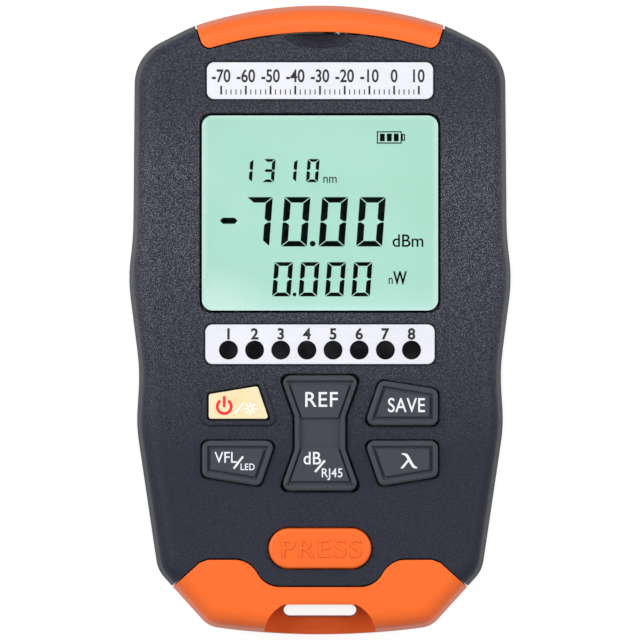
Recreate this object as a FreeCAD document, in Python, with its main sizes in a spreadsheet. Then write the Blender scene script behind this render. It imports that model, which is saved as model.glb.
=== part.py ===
"""Hand-held optical power meter with a clip-out cable-test remote.

The meter lies on its back: +Z comes out of the display face, +Y points at
the port end and +X to the display's right.  The origin is the middle of the
rear face.  Every length is in millimetres.
"""
import FreeCAD
import Part
import Sketcher
import math
import os

doc = FreeCAD.newDocument("power_meter")

# Driving dimensions.  Each one is a cell of the sheet, under this name.
SIZES = {
    # case: overall box, parting plane, wall and outer rounding
    "case_length": 122.9,
    "case_width": 74.6,
    "case_depth": 27.0,
    "split_height": 13.0,
    "case_wall": 2.0,
    "floor_wall": 2.0,
    "front_draft": 5.0,
    "rear_draft": 3.0,
    "front_round": 3.4,
    "rear_round": 2.6,
    "seam_chamfer": 0.25,
    "draft_room": 1.1,
    # outline: rise of the bowed ends, and how far each corner lies from the box
    "top_rise": 4.25,
    "top_bow_width": 50.6,
    "shoulder_inset": 1.1,
    "shoulder_drop": 9.8,
    "shoulder_round": 9.0,
    "bow_round": 20.0,
    "bulge_overshoot": 0.2,
    "bulge_place": 8.0,
    "bulge_round": 30.0,
    "chest_inset": 0.8,
    "chest_place": 16.5,
    "chest_round": 60.0,
    "waist_inset": 2.1,
    "waist_place": 10.0,
    "waist_round": 40.0,
    "hip_inset": 1.4,
    "hip_place": 20.5,
    "hip_round": 30.0,
    "heel_inset": 5.6,
    "heel_rise": 12.55,
    "heel_round": 6.0,
    "toe_inset": 15.5,
    "bottom_rise": 1.6,
    "toe_round": 5.0,
    # seam between the meter and the clip-out remote
    "parting_gap": 0.3,
    "step_width": 43.6,
    "step_rise": 14.85,
    "step_slope_width": 46.8,
    "step_slope_drop": 0.6,
    "step_curve_width": 33.2,
    "seam_neck_inset": 3.4,
    "bay_seam_rise": 9.55,
    "step_sag": 0.71,
    "seam_slope_run": 9.5,
    "seam_slope_drop": 8.6,
    # dust flap over the ports
    "flap_width": 48.2,
    "flap_foot_width": 46.2,
    "flap_foot_drop": 7.35,
    "flap_lip_width": 42.6,
    "flap_lip_drop": 8.55,
    "flap_corner_sag": 0.35,
    "flap_arch_rise": 3.1,
    "flap_lip_thickness": 2.3,
    "flap_cheek": 2.1,
    "flap_wall": 2.0,
    "flap_gap": 0.3,
    "hinge_inset": 3.05,
    "hinge_height": 2.2,
    "hinge_barrel": 2.0,
    "knuckle_width": 18.0,
    "hinge_pin": 1.0,
    "pin_length": 25.0,
    "flap_swing_gap": 0.4,
    "scoop_half_width": 7.2,
    "scoop_half_height": 2.9,
    "scoop_depth": 1.5,
    # port wall, port panel and the ports themselves
    "end_wall": 2.2,
    "end_wall_inset": 7.25,
    "port_window_width": 44.0,
    "port_window_low": 5.2,
    "port_window_high": 22.2,
    "panel_margin": 0.15,
    "panel_thickness": 1.4,
    "jack_width": 16.0,
    "jack_height": 12.9,
    "jack_depth": 16.5,
    "jack_mouth_width": 11.8,
    "jack_mouth_height": 8.4,
    "jack_mouth_depth": 13.0,
    "jack_key_width": 6.2,
    "jack_key_height": 2.0,
    "jack_place": 12.2,
    "jack_stand_out": 0.6,
    "meter_port_place": 4.4,
    "meter_port_height": 12.0,
    "meter_port_radius": 4.6,
    "meter_port_nose": 3.6,
    "meter_port_stand_out": 2.9,
    "ferrule_bore": 1.26,
    "bore_depth": 9.0,
    "port_body_length": 14.0,
    "laser_port_place": 13.2,
    "laser_port_height": 9.6,
    "laser_port_radius": 3.4,
    "laser_port_nose": 2.7,
    "laser_port_stand_out": 1.6,
    "torch_height": 18.2,
    "torch_radius": 2.5,
    "torch_flange": 2.9,
    "torch_stand_out": 1.6,
    "fit_gap": 0.15,
    # front furniture
    "window_width": 46.6,
    "window_height": 38.6,
    "window_place": 20.8,
    "window_thickness": 1.2,
    "window_corner": 2.3,
    "sight_margin": 0.35,
    "plate_width": 44.3,
    "plate_height": 7.5,
    "plate_drop": 14.95,
    "plate_thickness": 0.5,
    "plate_corner": 1.6,
    "indicator_width": 44.9,
    "indicator_height": 8.05,
    "indicator_place": 4.7,
    "dot_pitch": 5.08,
    "dot_radius": 1.85,
    "dot_drop": 1.13,
    "dot_count": 8,
    "lens_gap": 0.05,
    # display stack and circuit board
    "board_height": 18.6,
    "board_thickness": 1.6,
    "board_width": 49.0,
    "board_top_inset": 14.2,
    "board_bottom_place": 36.8,
    "backlight_thickness": 2.0,
    "glass_gap": 0.3,
    "glass_margin": 0.6,
    "frame_margin": 1.4,
    "post_radius": 2.2,
    "board_screw_radius": 0.8,
    "board_screw_head": 1.6,
    "board_screw_length": 5.0,
    "post_column": 22.2,
    "lower_post_place": 34.2,
    "upper_post_drop": 16.4,
    # keys
    "key_centre": 21.97,
    "key_inner_corner": 8.6,
    "key_waist_rise": 1.52,
    "key_top_corner": 11.6,
    "key_top_rise": 10.3,
    "key_outer": 22.9,
    "key_outer_rise": 8.45,
    "key_corner": 1.4,
    "key_proud": 1.2,
    "key_edge_round": 0.4,
    "key_rim": 1.0,
    "key_groove_width": 0.65,
    "key_groove_depth": 0.7,
    "key_gap": 0.3,
    "key_flange": 0.8,
    "flange_thickness": 0.8,
    "key_travel": 0.7,
    "key_seat_gap": 0.15,
    # light-passing key: its outline, how it sits and the case's rim round it
    "insert_inner_corner": 9.95,
    "insert_low": 2.77,
    "insert_top_corner": 12.1,
    "insert_top_rise": 9.13,
    "insert_outer": 21.6,
    "insert_outer_rise": 7.57,
    "insert_sink": 0.2,
    "insert_corner": 0.5,
    "insert_round": 0.2,
    "bezel_width": 1.0,
    "bezel_rise": 0.6,
    "bezel_round": 0.25,
    # rocker and switches
    "switch_side": 4.2,
    "switch_height": 1.7,
    "plunger_radius": 0.9,
    "plunger_height": 0.5,
    "stem_radius": 1.2,
    "switch_column": 16.6,
    "switch_rise": 6.3,
    "rocker_end": 7.66,
    "rocker_waist": 4.92,
    "rocker_reach": 11.15,
    "rocker_shoulder": 9.7,
    "rocker_panel_end": 9.35,
    "rocker_panel_near": 3.0,
    "rocker_panel_wide": 5.7,
    "rocker_panel_narrow": 3.5,
    "rocker_rim": 0.95,
    "rocker_gap": 0.4,
    "rocker_flange": 0.7,
    "rocker_pivot": 1.0,
    "pivot_gap": 0.15,
    "rocker_switch_rise": 7.4,
    # release button and latch
    "button_rise": 17.1,
    "button_length": 19.9,
    "button_height": 7.8,
    "button_proud": 1.0,
    "button_flange": 0.8,
    "button_crown": 0.6,
    "latch_width": 8.0,
    "latch_sheet": 0.4,
    "latch_level": 20.3,
    "latch_foot_rise": 26.5,
    "latch_foot_length": 3.6,
    "tooth_height": 1.7,
    "tongue_level": 21.0,
    "tongue_thickness": 1.3,
    "tongue_width": 16.0,
    "tongue_reach": 15.2,
    "tongue_bar": 2.0,
    "tongue_window": 2.0,
    "latch_play": 0.2,
    # dock for the remote
    "neck_width": 19.0,
    "neck_low": 3.2,
    "neck_high": 18.2,
    "neck_wall": 1.25,
    "neck_reach": 25.4,
    "dock_gap": 0.3,
    "liner_wall": 0.8,
    "liner_margin": 0.1,
    "liner_setback": 1.3,
    "remote_jack_depth": 14.0,
    "remote_board": 1.0,
    # lanyard bar of the remote
    "slot_width": 14.2,
    "slot_rise": 3.55,
    "slot_height": 2.4,
    "bar_low": 4.5,
    "bar_high": 15.5,
    "arch_foot": 10.9,
    "arch_neck": 7.0,
    "arch_top_rise": 6.15,
    "arch_sag": 0.9,
    # battery bay
    "cell_radius": 5.2,
    "cell_length": 44.0,
    "cell_spacing": 0.4,
    "cell_low": 3.0,
    "cell_button_radius": 1.9,
    "cell_button_height": 0.8,
    "bay_place": 0.0,
    "bay_end_room": 2.2,
    "bay_wall": 1.2,
    "contact_sheet": 0.3,
    "contact_width": 7.0,
    "door_lap": 1.6,
    "door_gap": 0.3,
    "door_low": 0.3,
    "door_thickness": 1.7,
    "rib_count": 7,
    "rib_pitch": 1.2,
    "rib_width": 0.6,
    "rib_length": 14.0,
    "rib_proud": 0.25,
    "rib_inset": 4.0,
    "door_tab_width": 7.0,
    "door_tab_reach": 2.2,
    "tab_spread": 0.55,
    "tab_lift": 0.2,
    "tab_thickness": 1.0,
    "tab_room": 2.4,
    "door_snap_width": 12.0,
    "snap_gap": 0.35,
    "snap_thickness": 0.9,
    "snap_height": 3.0,
    # case screws
    "screw_radius": 1.25,
    "screw_head_radius": 2.3,
    "screw_head_height": 1.8,
    "screw_length": 15.0,
    "screw_sink": 1.2,
    "boss_radius": 3.0,
    "screw_column": 28.6,
    "screw_drop": 17.5,
    "lower_screw_place": 29.5,
    "remote_screw_column": 17.0,
    "remote_screw_rise": 8.4,
    # clearances and joins used in many places
    "bite": 0.3,
    "stem_gap": 0.05,
    "screw_room": 0.15,
    "head_room": 0.2,
    "dock_room": 0.6,
    "dock_end_room": 0.5,
    "latch_room": 0.6,
    "tongue_room": 0.5,
    "cell_room": 0.2,
    # small forms of single pieces
    "rocker_taper": 0.45,
    "rocker_waist_rise": 3.2,
    "rocker_give": 0.45,
    "door_edge_room": 0.6,
    "tab_root": 0.6,
    "button_tip_gap": 0.1,
    "button_stem": 1.4,
    "latch_slope": 1.5,
    "peg_radius": 0.6,
    "peg_rise": 0.9,
    "peg_place": 2.4,
    "coil_wide": 2.6,
    "coil_narrow": 1.4,
    "photodiode_radius": 2.4,
    "photodiode_length": 3.6,
    "laser_can_radius": 2.3,
    "laser_can_length": 5.0,
    "lamp_length": 2.4,
    "lamp_width": 1.6,
    "lamp_height": 1.6,
    "flap_wall_set": 1.4,
    "flap_hollow_flat": 1.0,
    "nose_round": 0.4,
    "torch_collar": 0.4,
    "arch_lift": 0.5,
    "arch_root": 1.6,
    "cavity_bay_inset": 4.5,
    "cavity_foot_inset": 1.6,
}


class Size:
    """A length that knows its value and the sheet expression behind it."""

    def __init__(self, value, text):
        self.value = value
        self.text = text

    def __add__(self, other):
        other = as_size(other)
        return Size(self.value + other.value, f"({self.text} + {other.text})")

    def __radd__(self, other):
        return as_size(other) + self

    def __sub__(self, other):
        other = as_size(other)
        return Size(self.value - other.value, f"({self.text} - {other.text})")

    def __rsub__(self, other):
        return as_size(other) - self

    def __mul__(self, other):
        other = as_size(other)
        return Size(self.value * other.value, f"({self.text} * {other.text})")

    def __rmul__(self, other):
        return as_size(other) * self

    def __truediv__(self, other):
        other = as_size(other)
        return Size(self.value / other.value, f"({self.text} / {other.text})")

    def __neg__(self):
        return Size(-self.value, f"(0 - {self.text})")


def as_size(item):
    """Take a plain number as a size of its own."""
    if isinstance(item, Size):
        return item
    return Size(float(item), f"({item})")


def root(size):
    """Square root of a size."""
    return Size(math.sqrt(size.value), f"sqrt({size.text})")


class SizeSheet:
    """The spreadsheet of driving dimensions, read by name."""

    def __init__(self, table):
        sheet = doc.addObject("Spreadsheet::Sheet", "Sizes")
        for row, (name, number) in enumerate(table.items(), 1):
            sheet.set(f"A{row}", name)
            sheet.set(f"B{row}", str(number))
            sheet.setAlias(f"B{row}", name)
            setattr(self, name, Size(number, f"Sizes.{name}"))


s = SizeSheet(SIZES)
doc.recompute()

sub_parts = []


# ------------------------------------------------------------ building steps
def bind(item, path, size):
    """Tie one property of a document object to the sheet."""
    item.setExpression(path, as_size(size).text)


def sub_part(name):
    """Start a body that is handed over as one sub-part."""
    body = doc.addObject("PartDesign::Body", name)
    body.Label = name
    sub_parts.append(body)
    return body


def sketch_at(body, role, offset):
    """Put an empty sketch on one of the body's own origin planes."""
    sketch = body.newObject("Sketcher::SketchObject", f"{body.Name}_sketch")
    for item in body.Origin.OriginFeatures:
        if item.Role == role:
            sketch.AttachmentSupport = [(item, "")]
    sketch.MapMode = "FlatFace"
    bind(sketch, "AttachmentOffset.Base.z", offset)
    return sketch


def pin_down(sketch, kind, geometry, point, size):
    """Constrain one coordinate of a point, bound to the sheet."""
    constraint = Sketcher.Constraint(kind, -1, 1, geometry, point, size.value)
    index = sketch.addConstraint(constraint)
    bind(sketch, f"Constraints[{index}]", size)


def arc_radius(start, end, sag):
    """Radius of the arc between two points with a given rise over its chord."""
    run = end[0] - start[0]
    climb = end[1] - start[1]
    return (run * run + climb * climb) / (8 * sag) + sag / 2


def add_edge(sketch, start, end, sag):
    """Draw a line, or an arc that bows to the left of its direction."""
    a = FreeCAD.Vector(start[0].value, start[1].value, 0)
    b = FreeCAD.Vector(end[0].value, end[1].value, 0)
    if sag is None:
        return sketch.addGeometry(Part.LineSegment(a, b), False)
    along = b.sub(a).normalize()
    left = FreeCAD.Vector(-along.y, along.x, 0)
    middle = (a + b) * 0.5 + left * sag.value
    return sketch.addGeometry(Part.Arc(a, middle, b), False)


def outline(sketch, corners):
    """Draw a closed outline from corners (x, y) or (x, y, sag of the next edge).

    A positive sag bows the edge to the left of its direction.
    """
    points = [(as_size(c[0]), as_size(c[1])) for c in corners]
    sags = [as_size(c[2]) if len(c) > 2 else None for c in corners]
    edges = []
    for index, start in enumerate(points):
        end = points[(index + 1) % len(points)]
        edges.append(add_edge(sketch, start, end, sags[index]))
    starts = []
    ends = []
    for edge in edges:
        backwards = is_backwards(sketch, edge, points[edges.index(edge)])
        starts.append(2 if backwards else 1)
        ends.append(1 if backwards else 2)
    for index, edge in enumerate(edges):
        following = (index + 1) % len(edges)
        joint = Sketcher.Constraint("Coincident", edge, ends[index], edges[following], starts[following])
        sketch.addConstraint(joint)
    for index, point in enumerate(points):
        pin_down(sketch, "DistanceX", edges[index], starts[index], point[0])
        pin_down(sketch, "DistanceY", edges[index], starts[index], point[1])
    for index, sag in enumerate(sags):
        if sag is None:
            continue
        end = points[(index + 1) % len(points)]
        radius = arc_radius(points[index], end, Size(abs(sag.value), f"abs({sag.text})"))
        number = sketch.addConstraint(Sketcher.Constraint("Radius", edges[index], radius.value))
        bind(sketch, f"Constraints[{number}]", radius)


def is_backwards(sketch, edge, start):
    """Tell whether an arc was stored with its ends the other way round."""
    first = sketch.getPoint(edge, 1)
    return math.hypot(first.x - start[0].value, first.y - start[1].value) > 1e-4


def rectangle(sketch, low_x, low_y, high_x, high_y):
    """Draw a rectangle between two corners."""
    outline(sketch, [(low_x, low_y), (high_x, low_y), (high_x, high_y), (low_x, high_y)])


def rounded(sketch, centre_x, centre_y, width, height, corner):
    """Draw a rectangle with round corners about a centre."""
    half_w = width / 2
    half_h = height / 2
    sag = corner * -(1 - math.sqrt(0.5))
    left, right = centre_x - half_w, centre_x + half_w
    low, high = centre_y - half_h, centre_y + half_h
    outline(sketch, [
        (left + corner, low), (right - corner, low, sag),
        (right, low + corner), (right, high - corner, sag),
        (right - corner, high), (left + corner, high, sag),
        (left, high - corner), (left, low + corner, sag),
    ])


def circle(sketch, x, y, radius):
    """Draw a circle."""
    x, y, radius = as_size(x), as_size(y), as_size(radius)
    centre = FreeCAD.Vector(x.value, y.value, 0)
    edge = sketch.addGeometry(Part.Circle(centre, FreeCAD.Vector(0, 0, 1), radius.value), False)
    pin_down(sketch, "DistanceX", edge, 3, x)
    pin_down(sketch, "DistanceY", edge, 3, y)
    number = sketch.addConstraint(Sketcher.Constraint("Radius", edge, radius.value))
    bind(sketch, f"Constraints[{number}]", radius)


def pad(body, sketch, length, taper=0, both=False):
    """Raise a sketch along its normal, or half of it to each side."""
    feature = body.newObject("PartDesign::Pad", f"{body.Name}_pad")
    feature.Profile = sketch
    if both:
        feature.SideType = "Symmetric"
    bind(feature, "Length", length)
    bind(feature, "TaperAngle", taper)
    return feature


def pad_down(body, sketch, length, taper=0):
    """Raise a sketch against its normal."""
    feature = pad(body, sketch, length, taper)
    feature.Reversed = True
    return feature


def cut_up(body, sketch, depth, taper=0, both=False):
    """Cut a sketch away along its normal, or half of it to each side."""
    feature = body.newObject("PartDesign::Pocket", f"{body.Name}_pocket")
    feature.Profile = sketch
    feature.Reversed = True
    if both:
        feature.SideType = "Symmetric"
    bind(feature, "Length", depth)
    bind(feature, "TaperAngle", taper)
    return feature


def soften(body, radius, wanted, kind="Fillet"):
    """Round or chamfer the edges of the body's last feature that a test picks."""
    doc.recompute()
    base = body.Tip
    names = [f"Edge{n}" for n, edge in enumerate(base.Shape.Edges, 1) if wanted(edge)]
    feature = body.newObject(f"PartDesign::{kind}", f"{body.Name}_{kind.lower()}")
    feature.Base = (base, names)
    bind(feature, "Radius" if kind == "Fillet" else "Size", radius)
    return feature


def middle(edge):
    """Point half way along an edge."""
    return edge.valueAt((edge.FirstParameter + edge.LastParameter) / 2)


def at_height(height):
    """Pick edges that lie flat at one height."""
    def wanted(edge):
        box = edge.BoundBox
        return abs(box.ZMin - height.value) < 0.01 and abs(box.ZMax - height.value) < 0.01
    return wanted


def upright_near(x, y, reach=1.5):
    """Pick the upright edges near a corner of a plan."""
    def wanted(edge):
        spot = middle(edge)
        box = edge.BoundBox
        near = math.hypot(abs(spot.x) - x.value, spot.y - y.value) < reach
        return near and box.ZLength > 2
    return wanted


def box_cut(body, low, high):
    """Cut away a block between two corners."""
    sketch = sketch_at(body, "XY_Plane", low[2])
    rectangle(sketch, low[0], low[1], high[0], high[1])
    cut_up(body, sketch, high[2] - low[2])


def box_pad(body, low, high):
    """Add a block between two corners."""
    sketch = sketch_at(body, "XY_Plane", low[2])
    rectangle(sketch, low[0], low[1], high[0], high[1])
    pad(body, sketch, high[2] - low[2])


def disc_pad(body, x, y, radius, low, high):
    """Add an upright cylinder."""
    sketch = sketch_at(body, "XY_Plane", low)
    circle(sketch, x, y, radius)
    pad(body, sketch, high - low)


def disc_cut(body, places, radius, low, high):
    """Bore the same upright hole at several places."""
    sketch = sketch_at(body, "XY_Plane", low)
    for x, y in places:
        circle(sketch, x, y, radius)
    cut_up(body, sketch, high - low)


def along_y(body, start, end, shapes, cutting=False):
    """Pad or cut a sketch drawn in X and Z between two places along Y."""
    sketch = sketch_at(body, "XZ_Plane", -start)
    shapes(sketch)
    if cutting:
        cut_up(body, sketch, end - start).Reversed = False
    else:
        pad_down(body, sketch, end - start)


# ------------------------------------------------------------- shared places
top = s.case_length / 2
end = -s.case_length / 2
half_width = s.case_width / 2
front = s.case_depth
bay_seam_width = s.neck_width - s.seam_neck_inset
inner_front = front - s.case_wall
board_top = s.board_height + s.board_thickness
hinge_y = top - s.hinge_inset
end_wall_outer = top - s.end_wall_inset
end_wall_inner = end_wall_outer - s.end_wall
button_y = end + s.button_rise
key_y = -s.key_centre
dock_back = end + s.neck_reach + s.dock_gap + s.liner_wall
dock_half_width = s.neck_width / 2 + s.dock_gap + s.liner_wall
MIRRORED = (1, -1)


def case_corners():
    """Corners of the case outline on the right, with the round at each."""
    return [
        (half_width - s.shoulder_inset, top - s.shoulder_drop, s.shoulder_round),
        (half_width - s.chest_inset, s.chest_place, s.chest_round),
        (half_width + s.bulge_overshoot, s.bulge_place, s.bulge_round),
        (half_width - s.waist_inset, -s.waist_place, s.waist_round),
        (half_width - s.hip_inset, -s.hip_place, s.hip_round),
        (half_width - s.heel_inset, end + s.heel_rise, s.heel_round),
    ]


def case_plan(sketch):
    """Outline of the whole object seen from the front, corners still sharp."""
    bow = s.top_bow_width / 2
    toe = half_width - s.toe_inset
    right = [(x, y) for x, y, round_ in case_corners()]
    left = [(-x, y) for x, y in reversed(right)]
    corners = [(-bow, top - s.top_rise, s.top_rise), (bow, top - s.top_rise)]
    corners += right
    corners += [(toe, end + s.bottom_rise, s.bottom_rise), (-toe, end + s.bottom_rise)]
    outline(sketch, corners + left)


def case_form(body, upper):
    """Outer form of one half of the case, drafted and rounded all over."""
    sketch = sketch_at(body, "XY_Plane", s.split_height)
    case_plan(sketch)
    if upper:
        pad(body, sketch, s.case_depth - s.split_height, -s.front_draft)
    else:
        pad_down(body, sketch, s.split_height, -s.rear_draft)
    for x, y, radius in case_corners():
        soften(body, radius, upright_near(x, y))
    toe = half_width - s.toe_inset
    soften(body, s.toe_round, upright_near(toe, end + s.bottom_rise))
    soften(body, s.bow_round, upright_near(s.top_bow_width / 2, top - s.top_rise))
    soften(body, s.seam_chamfer, at_height(s.split_height), "Chamfer")
    if upper:
        soften(body, s.front_round, at_height(s.case_depth))
    else:
        soften(body, s.rear_round, at_height(as_size(0)))


def remote_seam(gap):
    """Seam between meter and remote, from right to left, in the plan."""
    step = end + s.step_rise + gap
    seam = end + s.bay_seam_rise + gap
    slope_x = s.step_slope_width / 2
    slope_y = step - s.step_slope_drop
    mid_x = (s.step_curve_width + bay_seam_width) / 4
    mid_y = (step + seam) / 2
    half = [
        (slope_x + s.seam_slope_run, slope_y - s.seam_slope_drop),
        (slope_x, slope_y),
        (s.step_width / 2, step),
        (s.step_curve_width / 2, step, -s.step_sag),
        (mid_x, mid_y, s.step_sag),
        (bay_seam_width / 2, seam),
    ]
    mirrored = [
        (-bay_seam_width / 2, seam, s.step_sag),
        (-mid_x, mid_y, -s.step_sag),
        (-s.step_curve_width / 2, step),
        (-s.step_width / 2, step),
        (-slope_x, slope_y),
        (-slope_x - s.seam_slope_run, slope_y - s.seam_slope_drop),
    ]
    return half + mirrored


def trim_to_meter(body):
    """Cut the remote's end away from a half of the case."""
    sketch = sketch_at(body, "XY_Plane", as_size(-1))
    below = [(-half_width - 10, end - 10), (half_width + 10, end - 10)]
    outline(sketch, remote_seam(s.parting_gap) + below)
    cut_up(body, sketch, s.case_depth + 5)


def trim_to_remote(body):
    """Cut the meter's part away from a half of the case."""
    sketch = sketch_at(body, "XY_Plane", as_size(-1))
    above = [(-half_width - 10, top + 10), (half_width + 10, top + 10)]
    outline(sketch, remote_seam(0) + above)
    cut_up(body, sketch, s.case_depth + 5)


def cavity_plan(sketch, wall):
    """Inside of the case: a straight-cornered plan that follows the outline."""
    right = [(x - wall, y) for x, y, round_ in case_corners()[1:5]]
    left = [(-x, y) for x, y in reversed(right)]
    shoulder_x = half_width - s.shoulder_inset - wall
    cavity_top = end_wall_inner
    step = end + s.step_rise + s.parting_gap + s.case_wall
    deep = end + s.bay_seam_rise + s.parting_gap + s.case_wall
    bay = s.step_curve_width / 2 - s.cavity_bay_inset
    foot_x = half_width - s.heel_inset - wall - s.cavity_foot_inset
    corners = [(-shoulder_x, cavity_top - 4), (-shoulder_x + 4, cavity_top)]
    corners += [(shoulder_x - 4, cavity_top), (shoulder_x, cavity_top - 4)]
    corners += right
    corners += [(foot_x, step), (bay, step), (bay, deep), (-bay, deep), (-bay, step), (-foot_x, step)]
    outline(sketch, corners + left)


def screw_places():
    """Case screws, near the four corners of the meter."""
    upper = top - s.screw_drop
    lower = -s.lower_screw_place
    return [(side * s.screw_column, y) for y in (upper, lower) for side in MIRRORED]


def board_screw_places():
    """Posts that carry the circuit board."""
    upper = top - s.upper_post_drop
    lower = -s.lower_post_place
    return [(side * s.post_column, y) for y in (upper, lower) for side in MIRRORED]


def flap_plan(grow):
    """Front view of the dust flap's lip, grown all round by a gap."""
    foot_y = top - s.flap_foot_drop
    lip_y = top - s.flap_lip_drop - grow
    outer = s.flap_width / 2 + grow
    foot = s.flap_foot_width / 2 + grow
    lip = s.flap_lip_width / 2 + grow / 2
    return [
        (-outer, top + 5), (-outer, top - s.top_rise),
        (-foot, foot_y, -s.flap_corner_sag), (-lip, lip_y, s.flap_arch_rise),
        (lip, lip_y, -s.flap_corner_sag), (foot, foot_y),
        (outer, top - s.top_rise), (outer, top + 5),
    ]


# ------------------------------------------------------------------ the keys
def four_sided(side, row, grow, inner, low, peak, peak_rise, outer, outer_rise):
    """Outline of a key with one leaning side and one falling side, grown all round.

    side is 1 or -1 for right or left, row 1 or -1 for upper or lower. Growing moves
    every side outwards by the same distance, so the corners follow from the slopes.
    """
    lean = (peak - inner) / (peak_rise - low)
    fall = (peak_rise - outer_rise) / (outer - peak)
    aside = grow * root(lean * lean + 1)
    lift = grow * root(fall * fall + 1)
    peak_shift = (lean * lift - aside) / (lean * fall + 1)
    corners = [
        (inner - aside - grow * lean, low - grow),
        (peak + peak_shift, peak_rise + lift - fall * peak_shift),
        (outer + grow, outer_rise + lift - fall * grow),
        (outer + grow, low - grow),
    ]
    return [(side * x, key_y + row * y) for x, y in corners]


def key_plan(side, row, grow):
    """Outline of one of the three plain outer keys, grown all round."""
    return four_sided(side, row, as_size(grow), s.key_inner_corner, s.key_waist_rise,
                      s.key_top_corner, s.key_top_rise, s.key_outer, s.key_outer_rise)


def insert_plan(grow):
    """Outline of the power key's insert, grown all round."""
    return four_sided(-1, 1, as_size(grow), s.insert_inner_corner, s.insert_low,
                      s.insert_top_corner, s.insert_top_rise, s.insert_outer, s.insert_outer_rise)


def rocker_plan(grow):
    """Hourglass outline of the rocker key, grown all round."""
    end_x = s.rocker_end + grow
    shoulder = s.rocker_shoulder
    waist = s.rocker_waist + grow
    tip = s.rocker_reach + grow
    right = [(end_x, key_y + tip), (end_x - s.rocker_taper, key_y + shoulder)]
    right += [(waist, key_y + s.rocker_waist_rise), (waist, key_y - s.rocker_waist_rise)]
    right += [(end_x - s.rocker_taper, key_y - shoulder), (end_x, key_y - tip)]
    return right + [(-x, y) for x, y in reversed(right)]


def rocker_ends(grow):
    """The four outer corners of the rocker's plan."""
    plan = rocker_plan(grow)
    return [plan[0], plan[5], plan[6], plan[11]]


def upright_at(corners, low):
    """Pick the upright edges above a height at the corners of a plan."""
    def wanted(edge):
        box = edge.BoundBox
        if box.ZMin < low.value - 0.01 or box.ZLength < 0.5 or box.XLength + box.YLength > 0.01:
            return False
        spot = middle(edge)
        return any(math.hypot(spot.x - x.value, spot.y - y.value) < 0.1 for x, y in corners)
    return wanted


KEYS = {
    "key_power": (-1, 1),
    "key_save": (1, 1),
    "key_torch": (-1, -1),
    "key_wavelength": (1, -1),
}


def key_outline(name, grow):
    """Outline of any of the outer keys, grown all round."""
    return insert_plan(grow) if name == "key_power" else key_plan(*KEYS[name], grow)


def key_flange_levels():
    """Lower and upper face of a key's flange."""
    flange_high = inner_front - s.key_seat_gap
    return flange_high - s.flange_thickness, flange_high


def button_plan(sketch, grow):
    """Long round-ended outline of the release button."""
    height = s.button_height + 2 * grow
    rounded(sketch, as_size(0), button_y, s.button_length + 2 * grow, height, height / 2 * 0.999)


# -------------------------------------------------------------- front shell
def front_cavity(body):
    """Hollow out the front half, leaving the wall and the screw bosses."""
    sketch = sketch_at(body, "XY_Plane", s.split_height - 1)
    cavity_plan(sketch, s.case_wall + s.draft_room)
    cut_up(body, sketch, inner_front - s.split_height + 1)
    for x, y in screw_places():
        disc_pad(body, x, y, s.boss_radius, s.split_height, inner_front + 0.5)
    screw_tip = s.screw_sink + s.screw_head_height + s.screw_length
    disc_cut(body, screw_places(), s.screw_radius, s.split_height, screw_tip + 0.5)
    for x, y in board_screw_places():
        disc_pad(body, x, y, s.post_radius, board_top, inner_front + 0.5)
    post_tip = s.board_height + s.board_screw_length
    disc_cut(body, board_screw_places(), s.board_screw_radius, board_top, post_tip)


def front_port_end(body):
    """Open the port end for the flap and the port panel."""
    ledge = front - s.flap_lip_thickness - s.flap_gap
    side = s.flap_width / 2 + s.flap_gap
    low = (-side, end_wall_outer, s.split_height - 1)
    box_cut(body, low, (side, top + 5, ledge))
    sketch = sketch_at(body, "XY_Plane", ledge)
    outline(sketch, flap_plan(s.flap_gap))
    cut_up(body, sketch, as_size(10))
    window = s.port_window_width / 2
    low = (-window, end_wall_inner - 1, s.split_height - 1)
    box_cut(body, low, (window, end_wall_outer + 1, s.port_window_high))


def front_recesses(body):
    """Sink the window, the two plates and their holes into the face."""
    sketch = sketch_at(body, "XY_Plane", front - s.window_thickness)
    rounded(sketch, as_size(0), s.window_place, s.window_width + 2 * s.fit_gap,
            s.window_height + 2 * s.fit_gap, s.window_corner)
    cut_up(body, sketch, as_size(5))
    sight_x = s.window_width / 2 - s.sight_margin
    sight_y = s.window_height / 2 - s.sight_margin
    low = (-sight_x, s.window_place - sight_y, inner_front - 1)
    box_cut(body, low, (sight_x, s.window_place + sight_y, front))
    floor = front - s.plate_thickness
    sketch = sketch_at(body, "XY_Plane", floor)
    rounded(sketch, as_size(0), top - s.plate_drop, s.plate_width + 2 * s.fit_gap,
            s.plate_height + 2 * s.fit_gap, s.plate_corner)
    rounded(sketch, as_size(0), -s.indicator_place, s.indicator_width + 2 * s.fit_gap,
            s.indicator_height + 2 * s.fit_gap, s.plate_corner)
    cut_up(body, sketch, as_size(5))
    disc_cut(body, dot_places(), s.dot_radius, inner_front - 1, front)


def dot_places():
    """Centres of the eight indicator windows."""
    y = -s.indicator_place - s.dot_drop
    count = int(s.dot_count.value)
    return [((index - (count - 1) / 2) * s.dot_pitch, y) for index in range(count)]


def power_bezel(body):
    """Raised rim of the case round the power key."""
    plan = insert_plan(s.key_gap + s.bezel_width)
    sketch = sketch_at(body, "XY_Plane", inner_front + 1)
    outline(sketch, plan)
    pad(body, sketch, s.case_wall - 1 + s.bezel_rise)
    soften(body, s.key_corner, upright_at(plan, front))


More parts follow.
